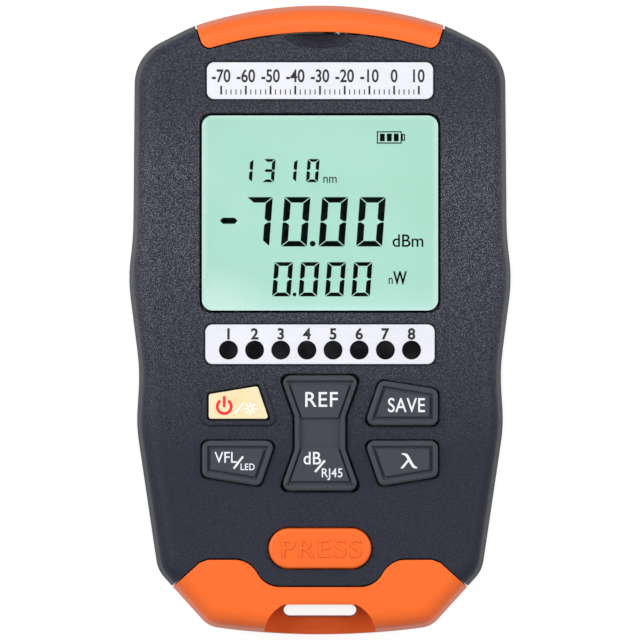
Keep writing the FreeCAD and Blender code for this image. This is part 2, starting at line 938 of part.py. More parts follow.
def front_openings(body):
    """Cut the openings for the keys, the rocker and the release button."""
    power_bezel(body)
    plans = {name: key_outline(name, s.key_gap) for name in KEYS}
    sketch = sketch_at(body, "XY_Plane", inner_front - 1)
    for plan in plans.values():
        outline(sketch, plan)
    outline(sketch, rocker_plan(s.rocker_gap))
    cut_up(body, sketch, s.case_wall + 3)
    soften(body, s.insert_corner, upright_at(plans.pop("key_power"), inner_front))
    corners = [spot for plan in plans.values() for spot in plan]
    corners += rocker_ends(s.rocker_gap)
    soften(body, s.key_corner, upright_at(corners, inner_front))
    soften(body, s.bezel_round, at_height(front + s.bezel_rise))
    sketch = sketch_at(body, "XY_Plane", inner_front - 1)
    button_plan(sketch, s.key_gap)
    cut_up(body, sketch, s.case_wall + 2)


def front_dock(body):
    """Open the lower end over the remote's neck and latch tongue."""
    side = dock_half_width + s.liner_margin
    high = s.tongue_level + s.tongue_thickness + s.dock_gap
    low = (-side, end, s.split_height - 1)
    box_cut(body, low, (side, end + s.neck_reach + 2, high))


def thumb_scoop(body):
    """Shallow dish in front of the flap, for the thumb that lifts it."""
    scoop = body.newObject("PartDesign::SubtractiveEllipsoid", "thumb_scoop")
    for item in body.Origin.OriginFeatures:
        if item.Role == "XY_Plane":
            scoop.AttachmentSupport = [(item, "")]
    scoop.MapMode = "FlatFace"
    arch = top - s.flap_lip_drop - s.flap_gap + s.flap_arch_rise
    bind(scoop, "AttachmentOffset.Base.y", arch)
    bind(scoop, "AttachmentOffset.Base.z", front)
    bind(scoop, "Radius1", s.scoop_depth)
    bind(scoop, "Radius2", s.scoop_half_width)
    bind(scoop, "Radius3", s.scoop_half_height)


def make_front_shell():
    """Front half of the meter's case, moulded in one piece."""
    body = sub_part("front_shell")
    case_form(body, True)
    trim_to_meter(body)
    front_cavity(body)
    front_port_end(body)
    front_recesses(body)
    front_openings(body)
    front_dock(body)
    thumb_scoop(body)


# --------------------------------------------------------------- rear shell
cell_pitch = s.cell_radius * 2 + s.cell_spacing
bay_roof = s.cell_low + s.cell_radius * 2 + s.cell_room
bay_half_width = cell_pitch + s.cell_radius + s.fit_gap * 2
bay_half_length = s.cell_length / 2 + s.bay_end_room
door_half_width = bay_half_width + s.door_lap - s.door_edge_room
door_half_length = bay_half_length + s.door_lap - s.door_edge_room
door_low_end = s.bay_place - door_half_length
bay_low_end = s.bay_place - bay_half_length


def rear_cavity(body):
    """Hollow out the rear half, leaving floor, bosses and battery box."""
    sketch = sketch_at(body, "XY_Plane", s.floor_wall)
    cavity_plan(sketch, s.case_wall + s.draft_room)
    cut_up(body, sketch, s.split_height)
    side = bay_half_width + s.bay_wall
    length = bay_half_length + s.bay_wall
    low = (-side, s.bay_place - length, s.floor_wall - 0.5)
    box_pad(body, low, (side, s.bay_place + length, bay_roof + s.bay_wall))
    low = (-bay_half_width, s.bay_place - bay_half_length, s.floor_wall - 2.5)
    box_cut(body, low, (bay_half_width, s.bay_place + bay_half_length, bay_roof))
    for x, y in screw_places():
        disc_pad(body, x, y, s.boss_radius, s.floor_wall - 0.5, s.split_height)
    disc_cut(body, screw_places(), s.screw_radius + s.screw_room, as_size(-1), s.split_height + 1)
    head_seat = s.screw_sink + s.screw_head_height
    disc_cut(body, screw_places(), s.screw_head_radius + s.head_room, as_size(-1), head_seat)


def rear_door_seat(body):
    """Step the floor back so that the battery door lies flush."""
    side = door_half_width + s.door_gap
    length = door_half_length + s.door_gap
    low = (-side, s.bay_place - length, as_size(-1))
    box_cut(body, low, (side, s.bay_place + length, s.floor_wall))
    for x in tab_columns():
        half = s.door_tab_width / 2 + s.door_gap
        low = (x - half, door_low_end - s.door_gap * 2 - s.door_tab_reach, s.floor_wall)
        box_cut(body, low, (x + half, bay_low_end + 0.5, s.floor_wall + s.tab_room))


def tab_columns():
    """Places across the door of its two tabs."""
    return [side * door_half_width * s.tab_spread for side in MIRRORED]


def rear_port_end(body):
    """Open the port end and shape the hinge ears of the flap."""
    side = s.flap_width / 2 + s.flap_gap
    ear_top = s.hinge_height + s.hinge_barrel
    low = (-side, end_wall_outer, ear_top)
    box_cut(body, low, (side, top + 5, s.split_height + 1))
    sketch = sketch_at(body, "YZ_Plane", as_size(0))
    ear_low = s.hinge_height - s.hinge_barrel
    outline(sketch, [
        (hinge_y, ear_top), (top + 5, ear_top), (top + 5, as_size(-1)), (hinge_y, as_size(-1)),
        (hinge_y, ear_low, -s.hinge_barrel * 0.9999),
    ])
    cut_up(body, sketch, side * 2, both=True)
    knuckle = s.knuckle_width / 2 + s.flap_gap
    low = (-knuckle, hinge_y - s.hinge_barrel - 0.8, as_size(-1))
    box_cut(body, low, (knuckle, top + 5, ear_top + 1))
    sketch = sketch_at(body, "YZ_Plane", as_size(0))
    circle(sketch, hinge_y, s.hinge_height, s.hinge_pin)
    cut_up(body, sketch, s.pin_length, both=True)
    window = s.port_window_width / 2
    low = (-window, end_wall_inner - 1, s.port_window_low)
    box_cut(body, low, (window, end_wall_outer + 1, s.split_height + 1))


def rear_dock(body):
    """Open the lower end for the dock liner."""
    side = dock_half_width + s.liner_margin
    low = (-side, end, s.floor_wall)
    box_cut(body, low, (side, end + s.neck_reach + 2, s.split_height + 1))


def make_rear_shell():
    """Rear half of the meter's case, with battery box, moulded in one piece."""
    body = sub_part("rear_shell")
    case_form(body, False)
    trim_to_meter(body)
    rear_cavity(body)
    rear_door_seat(body)
    rear_port_end(body)
    rear_dock(body)


# ---------------------------------------------------------------- dust flap
def make_top_flap():
    """Orange dust flap that wraps over the port end."""
    body = sub_part("top_flap")
    case_form(body, True)
    sketch = sketch_at(body, "XY_Plane", s.split_height)
    case_plan(sketch)
    wall_low = s.hinge_height + s.hinge_barrel + s.flap_swing_gap
    pad_down(body, sketch, s.split_height - wall_low, -s.rear_draft)
    sketch = sketch_at(body, "XY_Plane", as_size(-1))
    plan = flap_plan(0)
    far = [(-half_width - 20, top + 5), (-half_width - 20, end - 20)]
    far += [(half_width + 20, end - 20), (half_width + 20, top + 5)]
    outline(sketch, list(reversed(far)) + reverse_plan(plan))
    cut_up(body, sketch, s.case_depth + 5)
    flap_hollow(body, wall_low)
    flap_knuckle(body, wall_low)


def reverse_plan(plan):
    """Walk an outline the other way round, with its bows turned over."""
    points = [(corner[0], corner[1]) for corner in plan]
    sags = [corner[2] if len(corner) > 2 else None for corner in plan]
    result = []
    for index in range(len(points) - 1, -1, -1):
        sag = sags[index - 1] if index > 0 else None
        point = points[index]
        result.append(point if sag is None else (point[0], point[1], -sag))
    return result


def flap_hollow(body, wall_low):
    """Hollow the flap behind its lip, end wall and cheeks."""
    inner_x = s.flap_width / 2 - s.flap_cheek
    wall_y = top - s.flap_wall - s.flap_wall_set
    rise = s.top_rise - s.flap_hollow_flat
    sketch = sketch_at(body, "XY_Plane", wall_low - 1)
    outline(sketch, [
        (inner_x, top - 20), (-inner_x, top - 20),
        (-inner_x, wall_y - rise, rise), (inner_x, wall_y - rise),
    ])
    cut_up(body, sketch, front - s.flap_lip_thickness - wall_low + 1)
    low = (-half_width, top - 20, wall_low - 1)
    box_cut(body, low, (half_width, end_wall_outer + s.flap_gap, front - s.flap_lip_thickness))


def flap_knuckle(body, wall_low):
    """Add the hinge knuckle and bore it for the pin."""
    half = s.knuckle_width / 2
    sketch = sketch_at(body, "XY_Plane", s.hinge_height)
    rectangle(sketch, -half, hinge_y, half, hinge_y + s.hinge_barrel)
    pad(body, sketch, wall_low - s.hinge_height + 2)
    sketch = sketch_at(body, "YZ_Plane", as_size(0))
    circle(sketch, hinge_y, s.hinge_height, s.hinge_barrel)
    pad(body, sketch, s.knuckle_width, both=True)
    sketch = sketch_at(body, "YZ_Plane", as_size(0))
    circle(sketch, hinge_y, s.hinge_height, s.hinge_pin + s.stem_gap)
    cut_up(body, sketch, s.knuckle_width + 2, both=True)


def make_hinge_pin():
    """Steel pin through the flap's knuckle, pressed into the ears."""
    body = sub_part("flap_hinge_pin")
    sketch = sketch_at(body, "YZ_Plane", as_size(0))
    circle(sketch, hinge_y, s.hinge_height, s.hinge_pin)
    pad(body, sketch, s.pin_length, both=True)


# -------------------------------------------------------- ports at the top end
panel_back = end_wall_outer - s.panel_thickness
jack_low = s.board_height - s.jack_height
jack_x = -s.jack_place


def make_port_panel():
    """Dark panel that closes the end wall round the ports."""
    body = sub_part("port_panel")
    half = s.port_window_width / 2 - s.panel_margin
    low = s.port_window_low + s.panel_margin
    high = s.port_window_high - s.panel_margin

    def plate(sketch):
        rectangle(sketch, -half, low, half, high)
    along_y(body, panel_back, end_wall_outer, plate)

    def holes(sketch):
        side = s.jack_width / 2 + s.fit_gap
        rectangle(sketch, jack_x - side, jack_low - s.fit_gap, jack_x + side, s.board_height + s.fit_gap)
        circle(sketch, s.meter_port_place, s.meter_port_height, s.meter_port_nose + s.fit_gap)
        circle(sketch, s.laser_port_place, s.laser_port_height, s.laser_port_nose + s.fit_gap)
        circle(sketch, s.laser_port_place, s.torch_height, s.torch_radius + s.fit_gap)
    along_y(body, panel_back - 1, end_wall_outer + 1, holes, cutting=True)


def modular_jack(body, centre_x, low, width, height, back, mouth_y, depth):
    """Eight-way modular socket: a block with its keyed mouth facing +Y."""
    def block(sketch):
        rectangle(sketch, centre_x - width / 2, low, centre_x + width / 2, low + height)
    along_y(body, back, mouth_y, block)
    floor = low + (height - s.jack_mouth_height - s.jack_key_height) / 2
    mouth_top = floor + s.jack_mouth_height
    half = s.jack_mouth_width / 2
    key = s.jack_key_width / 2

    def mouth(sketch):
        outline(sketch, [
            (centre_x - half, floor), (centre_x + half, floor), (centre_x + half, mouth_top),
            (centre_x + key, mouth_top), (centre_x + key, mouth_top + s.jack_key_height),
            (centre_x - key, mouth_top + s.jack_key_height), (centre_x - key, mouth_top),
            (centre_x - half, mouth_top),
        ])
    along_y(body, mouth_y - depth, mouth_y + 1, mouth, cutting=True)


def make_main_jack():
    """Cable-test socket of the meter, hung under the circuit board."""
    body = sub_part("cable_jack")
    mouth_y = end_wall_outer + s.jack_stand_out
    modular_jack(body, jack_x, jack_low, s.jack_width, s.jack_height,
                 mouth_y - s.jack_depth, mouth_y, s.jack_mouth_depth)


def port(name, x, z, flange_radius, nose_radius, stand_out):
    """Turned metal port with a ferrule bore that opens at its nose."""
    body = sub_part(name)
    back = panel_back - s.port_body_length
    nose = end_wall_outer + stand_out
    along_y(body, back, nose, lambda sketch: circle(sketch, x, z, nose_radius))
    flange = panel_back - 2
    along_y(body, flange, panel_back, lambda sketch: circle(sketch, x, z, flange_radius))
    bore = nose - s.bore_depth
    along_y(body, bore, nose + 1, lambda sketch: circle(sketch, x, z, s.ferrule_bore), cutting=True)
    soften(body, s.nose_round, lambda edge: abs(edge.BoundBox.YMax - nose.value) < 0.01
           and edge.BoundBox.ZLength > 3, "Chamfer")


def make_ports():
    """The measuring port and the visible-laser port."""
    port("meter_port", s.meter_port_place, s.meter_port_height, s.meter_port_radius,
         s.meter_port_nose, s.meter_port_stand_out)
    port("laser_port", s.laser_port_place, s.laser_port_height, s.laser_port_radius,
         s.laser_port_nose, s.laser_port_stand_out)


def can_behind(name, x, z, radius, length):
    """Round metal can butted against the back of a port."""
    body = sub_part(name)
    back = panel_back - s.port_body_length
    along_y(body, back - length, back, lambda sketch: circle(sketch, x, z, radius))
    along_y(body, back - 1, back, lambda sketch: circle(sketch, x, z, radius + s.torch_collar))


def make_torch():
    """Lamp of the torch: a round-nosed clear body with a flange."""
    body = sub_part("torch_lamp")
    nose = end_wall_outer + s.torch_stand_out
    x, z = s.laser_port_place, s.torch_height
    along_y(body, panel_back - 3, nose, lambda sketch: circle(sketch, x, z, s.torch_radius))
    along_y(body, panel_back - 3, panel_back - 2, lambda sketch: circle(sketch, x, z, s.torch_flange))
    soften(body, s.torch_radius * 0.9, lambda edge: abs(edge.BoundBox.YMin - nose.value) < 0.01)


# ------------------------------------------------------------ front furniture
def plate(name, centre_y, width, height, corner, low, high):
    """Thin plate with round corners, let into the face."""
    body = sub_part(name)
    sketch = sketch_at(body, "XY_Plane", low)
    rounded(sketch, as_size(0), centre_y, width, height, corner)
    pad(body, sketch, high - low)
    return body


def make_face_plates():
    """Window, upper plate, indicator plate and the eight indicator lenses."""
    plate("display_window", s.window_place, s.window_width, s.window_height,
          s.window_corner, front - s.window_thickness, front)
    floor = front - s.plate_thickness
    plate("upper_plate", top - s.plate_drop, s.plate_width, s.plate_height,
          s.plate_corner, floor, front + 0.05)
    body = plate("indicator_plate", -s.indicator_place, s.indicator_width,
                 s.indicator_height, s.plate_corner, floor, front + 0.05)
    disc_cut(body, dot_places(), s.dot_radius, floor - 1, front + 1)


def make_lenses():
    """Eight dark round windows, one over each indicator lamp."""
    pieces = []
    for index, (x, y) in enumerate(dot_places()):
        pieces.append(cylinder(f"lens_{index + 1}", x, y, s.dot_radius - s.lens_gap, inner_front, front))
    group("indicator_lenses", pieces)


def cylinder(name, x, y, radius, low, high):
    """Upright cylinder as a primitive."""
    item = doc.addObject("Part::Cylinder", name)
    bind(item, "Radius", radius)
    bind(item, "Height", high - low)
    bind(item, "Placement.Base.x", x)
    bind(item, "Placement.Base.y", y)
    bind(item, "Placement.Base.z", low)
    return item


def block(name, low, high):
    """Upright block as a primitive, between two corners."""
    item = doc.addObject("Part::Box", name)
    for prop, axis, index in (("Length", "x", 0), ("Width", "y", 1), ("Height", "z", 2)):
        bind(item, prop, as_size(high[index]) - low[index])
        bind(item, f"Placement.Base.{axis}", low[index])
    return item


def group(name, pieces):
    """Hand over several separate like solids as one sub-part."""
    item = doc.addObject("Part::Compound", name)
    item.Label = name
    item.Links = pieces
    sub_parts.append(item)


def make_display():
    """Liquid-crystal panel, its lit diffuser and the frame round both."""
    centre = s.window_place
    half_w = s.window_width / 2 + s.glass_margin
    half_h = s.window_height / 2 + s.glass_margin
    glass_low = board_top + s.backlight_thickness
    glass_high = inner_front - s.glass_gap
    body = sub_part("display_backlight")
    box_pad(body, (-half_w, centre - half_h, board_top), (half_w, centre + half_h, glass_low))
    body = sub_part("display_panel")
    box_pad(body, (-half_w, centre - half_h, glass_low), (half_w, centre + half_h, glass_high))
    body = sub_part("display_frame")
    out_w = half_w + s.frame_margin
    out_h = half_h + s.frame_margin
    box_pad(body, (-out_w, centre - out_h, board_top), (out_w, centre + out_h, inner_front - 0.1))
    gap = as_size(0.1)
    low = (-half_w - gap, centre - half_h - gap, board_top - 1)
    box_cut(body, low, (half_w + gap, centre + half_h + gap, front))


# ------------------------------------------------- board, switches and screws
def make_board():
    """Main circuit board, screwed to the posts of the front shell."""
    body = sub_part("main_board")
    half = s.board_width / 2
    low = (-half, -s.board_bottom_place, s.board_height)
    box_pad(body, low, (half, top - s.board_top_inset, board_top))
    notch = dock_half_width + s.dock_room
    low = (-notch, -s.board_bottom_place - 1, s.board_height - 1)
    box_cut(body, low, (notch, dock_back + s.dock_end_room, board_top + 1))
    hole = s.board_screw_radius + s.screw_room
    disc_cut(body, board_screw_places(), hole, s.board_height - 1, board_top + 1)


def make_board_screws():
    """Four small screws that hold the board to its posts."""
    pieces = []
    for index, (x, y) in enumerate(board_screw_places(), 1):
        head = cylinder(f"board_screw_head_{index}", x, y, s.board_screw_head, s.board_height - 1.2,
                        s.board_height)
        shank = cylinder(f"board_screw_shank_{index}", x, y, s.board_screw_radius,
                         s.board_height - 0.5, s.board_height + s.board_screw_length - 0.5)
        pieces.append(join(f"board_screw_{index}", [head, shank]))
    group("board_screws", pieces)


def join(name, pieces):
    """Fuse several shapes into one solid."""
    item = doc.addObject("Part::MultiFuse", name)
    item.Shapes = pieces
    return item


def switch_places():
    """Tact switches: one under each outer key, two under the rocker."""
    places = [(side * s.switch_column, key_y + row * s.switch_rise) for side, row in KEYS.values()]
    return places + [(as_size(0), key_y + row * s.rocker_switch_rise) for row in MIRRORED]


def make_switches():
    """Six tact switches, soldered to the board."""
    pieces = []
    half = s.switch_side / 2
    high = board_top + s.switch_height
    for index, (x, y) in enumerate(switch_places(), 1):
        base = block(f"switch_base_{index}", (x - half, y - half, board_top), (x + half, y + half, high))
        plunger = cylinder(f"switch_plunger_{index}", x, y, s.plunger_radius, high - 0.5,
                           high + s.plunger_height)
        pieces.append(join(f"switch_{index}", [base, plunger]))
    group("tact_switches", pieces)


def make_leds():
    """Eight indicator lamps on the board, under their lenses."""
    pieces = []
    for index, (x, y) in enumerate(dot_places(), 1):
        low = (x - s.lamp_length / 2, y - s.lamp_width / 2, board_top)
        high = (x + s.lamp_length / 2, y + s.lamp_width / 2, board_top + s.lamp_height)
        pieces.append(block(f"lamp_{index}", low, high))
    group("indicator_lamps", pieces)


def case_screw(name, x, y, sink, length):
    """Pan-headed screw, put in from the rear."""
    head_high = sink + s.screw_head_height
    head = cylinder(f"{name}_head", x, y, s.screw_head_radius, sink, head_high)
    shank = cylinder(f"{name}_shank", x, y, s.screw_radius, head_high - 0.5, head_high + length)
    driver = cylinder(f"{name}_drive", x, y, s.screw_head_radius * 0.4, sink - 1, sink + 0.9)
    blank = join(f"{name}_blank", [head, shank])
    screw = doc.addObject("Part::Cut", name)
    screw.Base = blank
    screw.Tool = driver
    return screw


def make_case_screws():
    """Four screws that hold the two shells together."""
    places = enumerate(screw_places(), 1)
    group("case_screws", [case_screw(f"case_screw_{n}", x, y, s.screw_sink, s.screw_length)
                          for n, (x, y) in places])


# --------------------------------------------------------------------- keys
def key_switch(side, row):
    """Place of the switch under one outer key."""
    return side * s.switch_column, key_y + row * s.switch_rise


def stem_low(travel):
    """Lower end of a key's stem, just clear of a fully pressed plunger."""
    return board_top + s.switch_height + s.plunger_height + travel + s.stem_gap


def key_groove(body, side, row, top_z):
    """Groove round the key's raised middle panel."""
    sketch = sketch_at(body, "XY_Plane", top_z - s.key_groove_depth)
    outline(sketch, key_plan(side, row, -s.key_rim))
    outline(sketch, key_plan(side, row, -s.key_rim - s.key_groove_width))
    cut_up(body, sketch, s.key_proud * 2)


def key_blank(name, top_z, corner):
    """Cap, flange and stem of one outer key."""
    plan = key_outline(name, 0)
    body = sub_part(name)
    flange_low, flange_high = key_flange_levels()
    sketch = sketch_at(body, "XY_Plane", flange_low)
    outline(sketch, key_outline(name, s.key_flange))
    pad(body, sketch, s.flange_thickness)
    sketch = sketch_at(body, "XY_Plane", flange_low)
    outline(sketch, plan)
    pad(body, sketch, top_z - flange_low)
    soften(body, corner, upright_at(plan, flange_high))
    x, y = key_switch(*KEYS[name])
    disc_pad(body, x, y, s.stem_radius, stem_low(s.key_travel), flange_low + s.bite)
    return body


def make_power_key():
    """Carrier of the power key, and the light-passing insert moulded onto it."""
    seat = front - s.insert_sink
    key_blank("key_power", seat, s.insert_corner)
    plan = insert_plan(0)
    insert = sub_part("power_insert")
    sketch = sketch_at(insert, "XY_Plane", seat)
    outline(sketch, plan)
    pad(insert, sketch, s.key_proud + s.insert_sink)
    soften(insert, s.insert_corner, upright_at(plan, seat))
    soften(insert, s.insert_round, at_height(front + s.key_proud))


def make_keys():
    """The three plain outer keys, each with a rim, a groove and a raised panel."""
    top_z = front + s.key_proud
    for name in ("key_save", "key_torch", "key_wavelength"):
        body = key_blank(name, top_z, s.key_corner)
        soften(body, s.key_edge_round, at_height(top_z))
        key_groove(body, *KEYS[name], top_z)


def rocker_panel(row):
    """Raised panel at one end of the rocker."""
    near = key_y + row * s.rocker_panel_near
    far = key_y + row * s.rocker_panel_end
    wide = s.rocker_panel_wide
    narrow = s.rocker_panel_narrow
    return [(wide, far), (-wide, far), (-narrow, near), (narrow, near)]


def make_rocker():
    """Hourglass rocker that tips about its middle on the board."""
    body = sub_part("rocker_key")
    high = inner_front - s.rocker_flange
    low = high - s.flange_thickness
    top_z = front + s.key_proud
    sketch = sketch_at(body, "XY_Plane", low)
    outline(sketch, rocker_plan(s.key_flange))
    pad(body, sketch, s.flange_thickness)
    sketch = sketch_at(body, "XY_Plane", low)
    outline(sketch, rocker_plan(0))
    pad(body, sketch, top_z - low)
    soften(body, s.key_corner, upright_at(rocker_ends(0), high))
    soften(body, s.key_edge_round, at_height(top_z))
    sketch = sketch_at(body, "XY_Plane", top_z - s.key_groove_depth)
    outline(sketch, rocker_plan(-s.rocker_rim))
    for row in MIRRORED:
        outline(sketch, rocker_panel(row))
    cut_up(body, sketch, s.key_proud * 2)
    pivot_z = board_top + s.pivot_gap + s.rocker_pivot
    sketch = sketch_at(body, "YZ_Plane", as_size(0))
    circle(sketch, key_y, pivot_z, s.rocker_pivot)
    pad(body, sketch, s.rocker_waist, both=True)
    half = s.rocker_waist / 2
    low_corner = (-half, key_y - s.rocker_pivot * 0.8, pivot_z)
    box_pad(body, low_corner, (half, key_y + s.rocker_pivot * 0.8, low + s.bite))
    for row in MIRRORED:
        y = key_y + row * s.rocker_switch_rise
        disc_pad(body, as_size(0), y, s.stem_radius, stem_low(s.rocker_give), low + s.bite)


# ---------------------------------------------------------- release and latch
def make_release_button():
    """Orange button that presses the latch spring down."""
    body = sub_part("release_button")
    high = inner_front - s.key_seat_gap
    low = high - s.flange_thickness
    top_z = front + s.button_proud
    sketch = sketch_at(body, "XY_Plane", low)
    button_plan(sketch, s.button_flange)
    pad(body, sketch, s.flange_thickness)
    sketch = sketch_at(body, "XY_Plane", low)
    button_plan(sketch, as_size(0))
    pad(body, sketch, top_z - low)
    soften(body, s.button_crown, at_height(top_z))
    tip = s.latch_level + s.latch_sheet + s.button_tip_gap
    disc_pad(body, as_size(0), button_y, s.button_stem, tip, low + s.bite)


def make_latch_spring():
    """Folded leaf spring; its turned-up end holds the remote's tongue."""
    body = sub_part("latch_spring")
    sheet = s.latch_sheet
    foot_y = end + s.latch_foot_rise
    foot_low = s.neck_high + s.dock_gap + s.liner_wall + s.liner_margin
    bend = foot_y - s.latch_foot_length
    level = s.latch_level
    tooth = end + s.tongue_reach - s.tongue_bar - s.latch_play - sheet
    sketch = sketch_at(body, "YZ_Plane", as_size(0))
    outline(sketch, [
        (foot_y, foot_low), (foot_y, foot_low + sheet), (bend + sheet / 4, foot_low + sheet),
        (bend - s.latch_slope + sheet / 4, level + sheet), (tooth + sheet, level + sheet),
        (tooth + sheet, level + s.tooth_height), (tooth, level + s.tooth_height), (tooth, level),
        (bend - s.latch_slope, level), (bend, foot_low),
    ])
    pad(body, sketch, s.latch_width, both=True)
    disc_cut(body, peg_places(), s.peg_radius + s.stem_gap, foot_low - 1, foot_low + sheet + 1)


def peg_places():
    """Pegs of the dock liner that hold the spring's foot."""
    y = end + s.latch_foot_rise - s.latch_foot_length / 2
    return [(side * s.peg_place, y) for side in MIRRORED]


def make_dock_liner():
    """Sleeve in the lower end that guides the remote's neck."""
    body = sub_part("dock_liner")
    half = s.neck_width / 2 + s.dock_gap
    mouth = end + s.bay_seam_rise + s.liner_setback
    back = dock_back - s.liner_wall
    outer = half + s.liner_wall
    low = s.neck_low - s.dock_gap
    high = s.neck_high + s.dock_gap
    box_pad(body, (-outer, mouth, low - s.liner_wall), (outer, back + s.liner_wall, high + s.liner_wall))
    box_cut(body, (-half, mouth - 1, low), (half, back, high))
    leaf = s.latch_width / 2 + s.latch_room
    box_cut(body, (-leaf, mouth - 1, high - 0.5), (leaf, end + s.latch_foot_rise - 6, high + 3))
    for x, y in peg_places():
        disc_pad(body, x, y, s.peg_radius, high + s.bite, high + s.liner_wall + s.peg_rise)


# ------------------------------------------------------------------- remote
def lanyard_cut(body):
    """Slot behind the lanyard bar and the arched recess in front of it."""
    sketch = sketch_at(body, "XY_Plane", as_size(-1))
    centre = end + s.slot_rise + s.slot_height / 2
    rounded(sketch, as_size(0), centre, s.slot_width, s.slot_height, s.slot_height / 2 * 0.999)
    cut_up(body, sketch, s.case_depth + 2)


def lanyard_arch(body, low, high):
    """Set the bar back behind the face by an arched recess."""
    sketch = sketch_at(body, "XY_Plane", low)
    arch = end + s.arch_top_rise
    foot = end + s.arch_lift
    outline(sketch, [
        (-s.arch_foot, end - 2), (s.arch_foot, end - 2), (s.arch_foot, foot, -s.arch_sag),
        (s.arch_neck, arch), (-s.arch_neck, arch, -s.arch_sag), (-s.arch_foot, foot),
    ])
    cut_up(body, sketch, high - low)


def neck_block(body, low, high):
    """Add one half of the neck that goes into the dock."""
    half = s.neck_width / 2
    root = end + s.slot_rise + s.slot_height + s.arch_root
    box_pad(body, (-half, root, low), (half, end + s.neck_reach, high))


def neck_hollow(body, low, high):
    """Hollow one half of the neck round the jack and its board."""
    half = s.neck_width / 2 - s.neck_wall
    back = end + s.neck_reach - s.remote_jack_depth - s.remote_board - 0.2
    box_cut(body, (-half, back, low), (half, end + s.neck_reach + 1, high))


def make_remote_front():
    """Front half of the clip-out remote, with tongue and lanyard bar."""
    body = sub_part("remote_front")
    case_form(body, True)
    trim_to_remote(body)
    neck_block(body, s.split_height, s.neck_high)
    neck_hollow(body, s.split_height - 1, s.neck_high - s.neck_wall)
    lanyard_cut(body)
    lanyard_arch(body, s.bar_high, s.case_depth + 1)
    half = s.tongue_width / 2
    reach = end + s.tongue_reach
    root = end + s.bay_seam_rise - 1.0
    high = s.tongue_level + s.tongue_thickness
    box_pad(body, (-half, root, s.tongue_level), (half, reach, high))
    far = reach - s.tongue_bar
    window = s.latch_width / 2 + s.tongue_room
    low = (-window, far - s.tongue_window, s.tongue_level - 1)
    box_cut(body, low, (window, far, high + 1))
    holes = remote_screw_places()
    disc_cut(body, holes, s.screw_radius, s.split_height - 1, s.split_height + 8)


def make_remote_rear():
    """Rear half of the clip-out remote."""
    body = sub_part("remote_rear")
    case_form(body, False)
    trim_to_remote(body)
    neck_block(body, s.neck_low, s.split_height)
    neck_hollow(body, s.neck_low + s.neck_wall, s.split_height + 1)
    lanyard_cut(body)
    lanyard_arch(body, as_size(-1), s.bar_low)
    holes = remote_screw_places()
    disc_cut(body, holes, s.screw_radius + s.screw_room, as_size(-1), s.split_height + 1)
    disc_cut(body, holes, s.screw_head_radius + s.head_room, as_size(-1), s.screw_sink + s.screw_head_height)


def remote_screw_places():
    """Two screws that hold the remote's halves together."""
    y = end + s.remote_screw_rise
    return [(side * s.remote_screw_column, y) for side in MIRRORED]


def make_remote_inside():
    """Socket, board and screws of the remote."""
    mouth_y = end + s.neck_reach - 0.1
    back = mouth_y - s.remote_jack_depth
    width = s.neck_width - 2 * s.neck_wall - 0.4
    height = s.neck_high - s.neck_low - 2 * s.neck_wall - 0.2
    low = s.neck_low + s.neck_wall + 0.1
    body = sub_part("remote_jack")
    modular_jack(body, as_size(0), low, width, height, back, mouth_y, s.jack_mouth_depth - 2)
    body = sub_part("remote_board")
    box_pad(body, (-width / 2, back - s.remote_board, low), (width / 2, back, low + height))
    places = enumerate(remote_screw_places(), 1)
    group("remote_screws", [case_screw(f"remote_screw_{n}", x, y, s.screw_sink, s.screw_length * 0.8)
                            for n, (x, y) in places])


# -------------------------------------------------------------- battery bay
cell_axis = bay_roof - s.cell_radius - s.cell_room


def cell_column(index):
    """Place across the bay of one cell."""
    return (index - 1) * cell_pitch


def make_cells():
    """Three cells side by side, every other one turned round."""
    pieces = []
    for index in range(3):
        flip = 1 if index != 1 else -1
        x = cell_column(index)
        can_length = s.cell_length - s.cell_button_height
        can = lying_cylinder(f"cell_can_{index}", x, s.cell_radius, can_length, flip)
        nub_length = s.cell_button_height + 1
        nub = lying_cylinder(f"cell_nub_{index}", x, s.cell_button_radius, nub_length, flip, can_length - 1)
        pieces.append(join(f"cell_{index + 1}", [can, nub]))
    group("battery_cells", pieces)


def lying_cylinder(name, x, radius, length, flip, start=0):
    """Cylinder along Y inside the bay, drawn from either end of it."""
    item = doc.addObject("Part::Cylinder", name)
    bind(item, "Radius", radius)
    bind(item, "Height", length)
    item.Placement.Rotation = FreeCAD.Rotation(FreeCAD.Vector(1, 0, 0), -90 * flip)
    bind(item, "Placement.Base.x", x)
    bind(item, "Placement.Base.y", s.bay_place - flip * (s.cell_length / 2 - start))
    bind(item, "Placement.Base.z", cell_axis)
    return item


def make_contacts():
    """Sprung metal contacts at both ends of each cell."""
    pieces = []
    for index in range(3):
        x = cell_column(index)
        for side in MIRRORED:
            wall = s.bay_place + side * bay_half_length
            tip = s.bay_place + side * s.cell_length / 2
            name = f"contact_{index}_{'a' if side > 0 else 'b'}"
            pieces.append(contact(name, x, wall, tip, side))
    group("battery_contacts", pieces)


def contact(name, x, wall, tip, side):
    """One bowed leaf between the end wall of the bay and a cell."""
    half = s.contact_width / 2
    back_a = wall - side * s.contact_sheet
    low = (x - half, ordered(back_a, wall)[0], cell_axis - 3)
    leaf = block(f"{name}_leaf", low, (x + half, ordered(back_a, wall)[1], cell_axis + 3))
    spot = lying_stub(f"{name}_spot", x, back_a, tip, side)
    return join(name, [leaf, spot])


def ordered(first, second):
    """The lower and the higher of two places."""
    return (first, second) if first.value < second.value else (second, first)


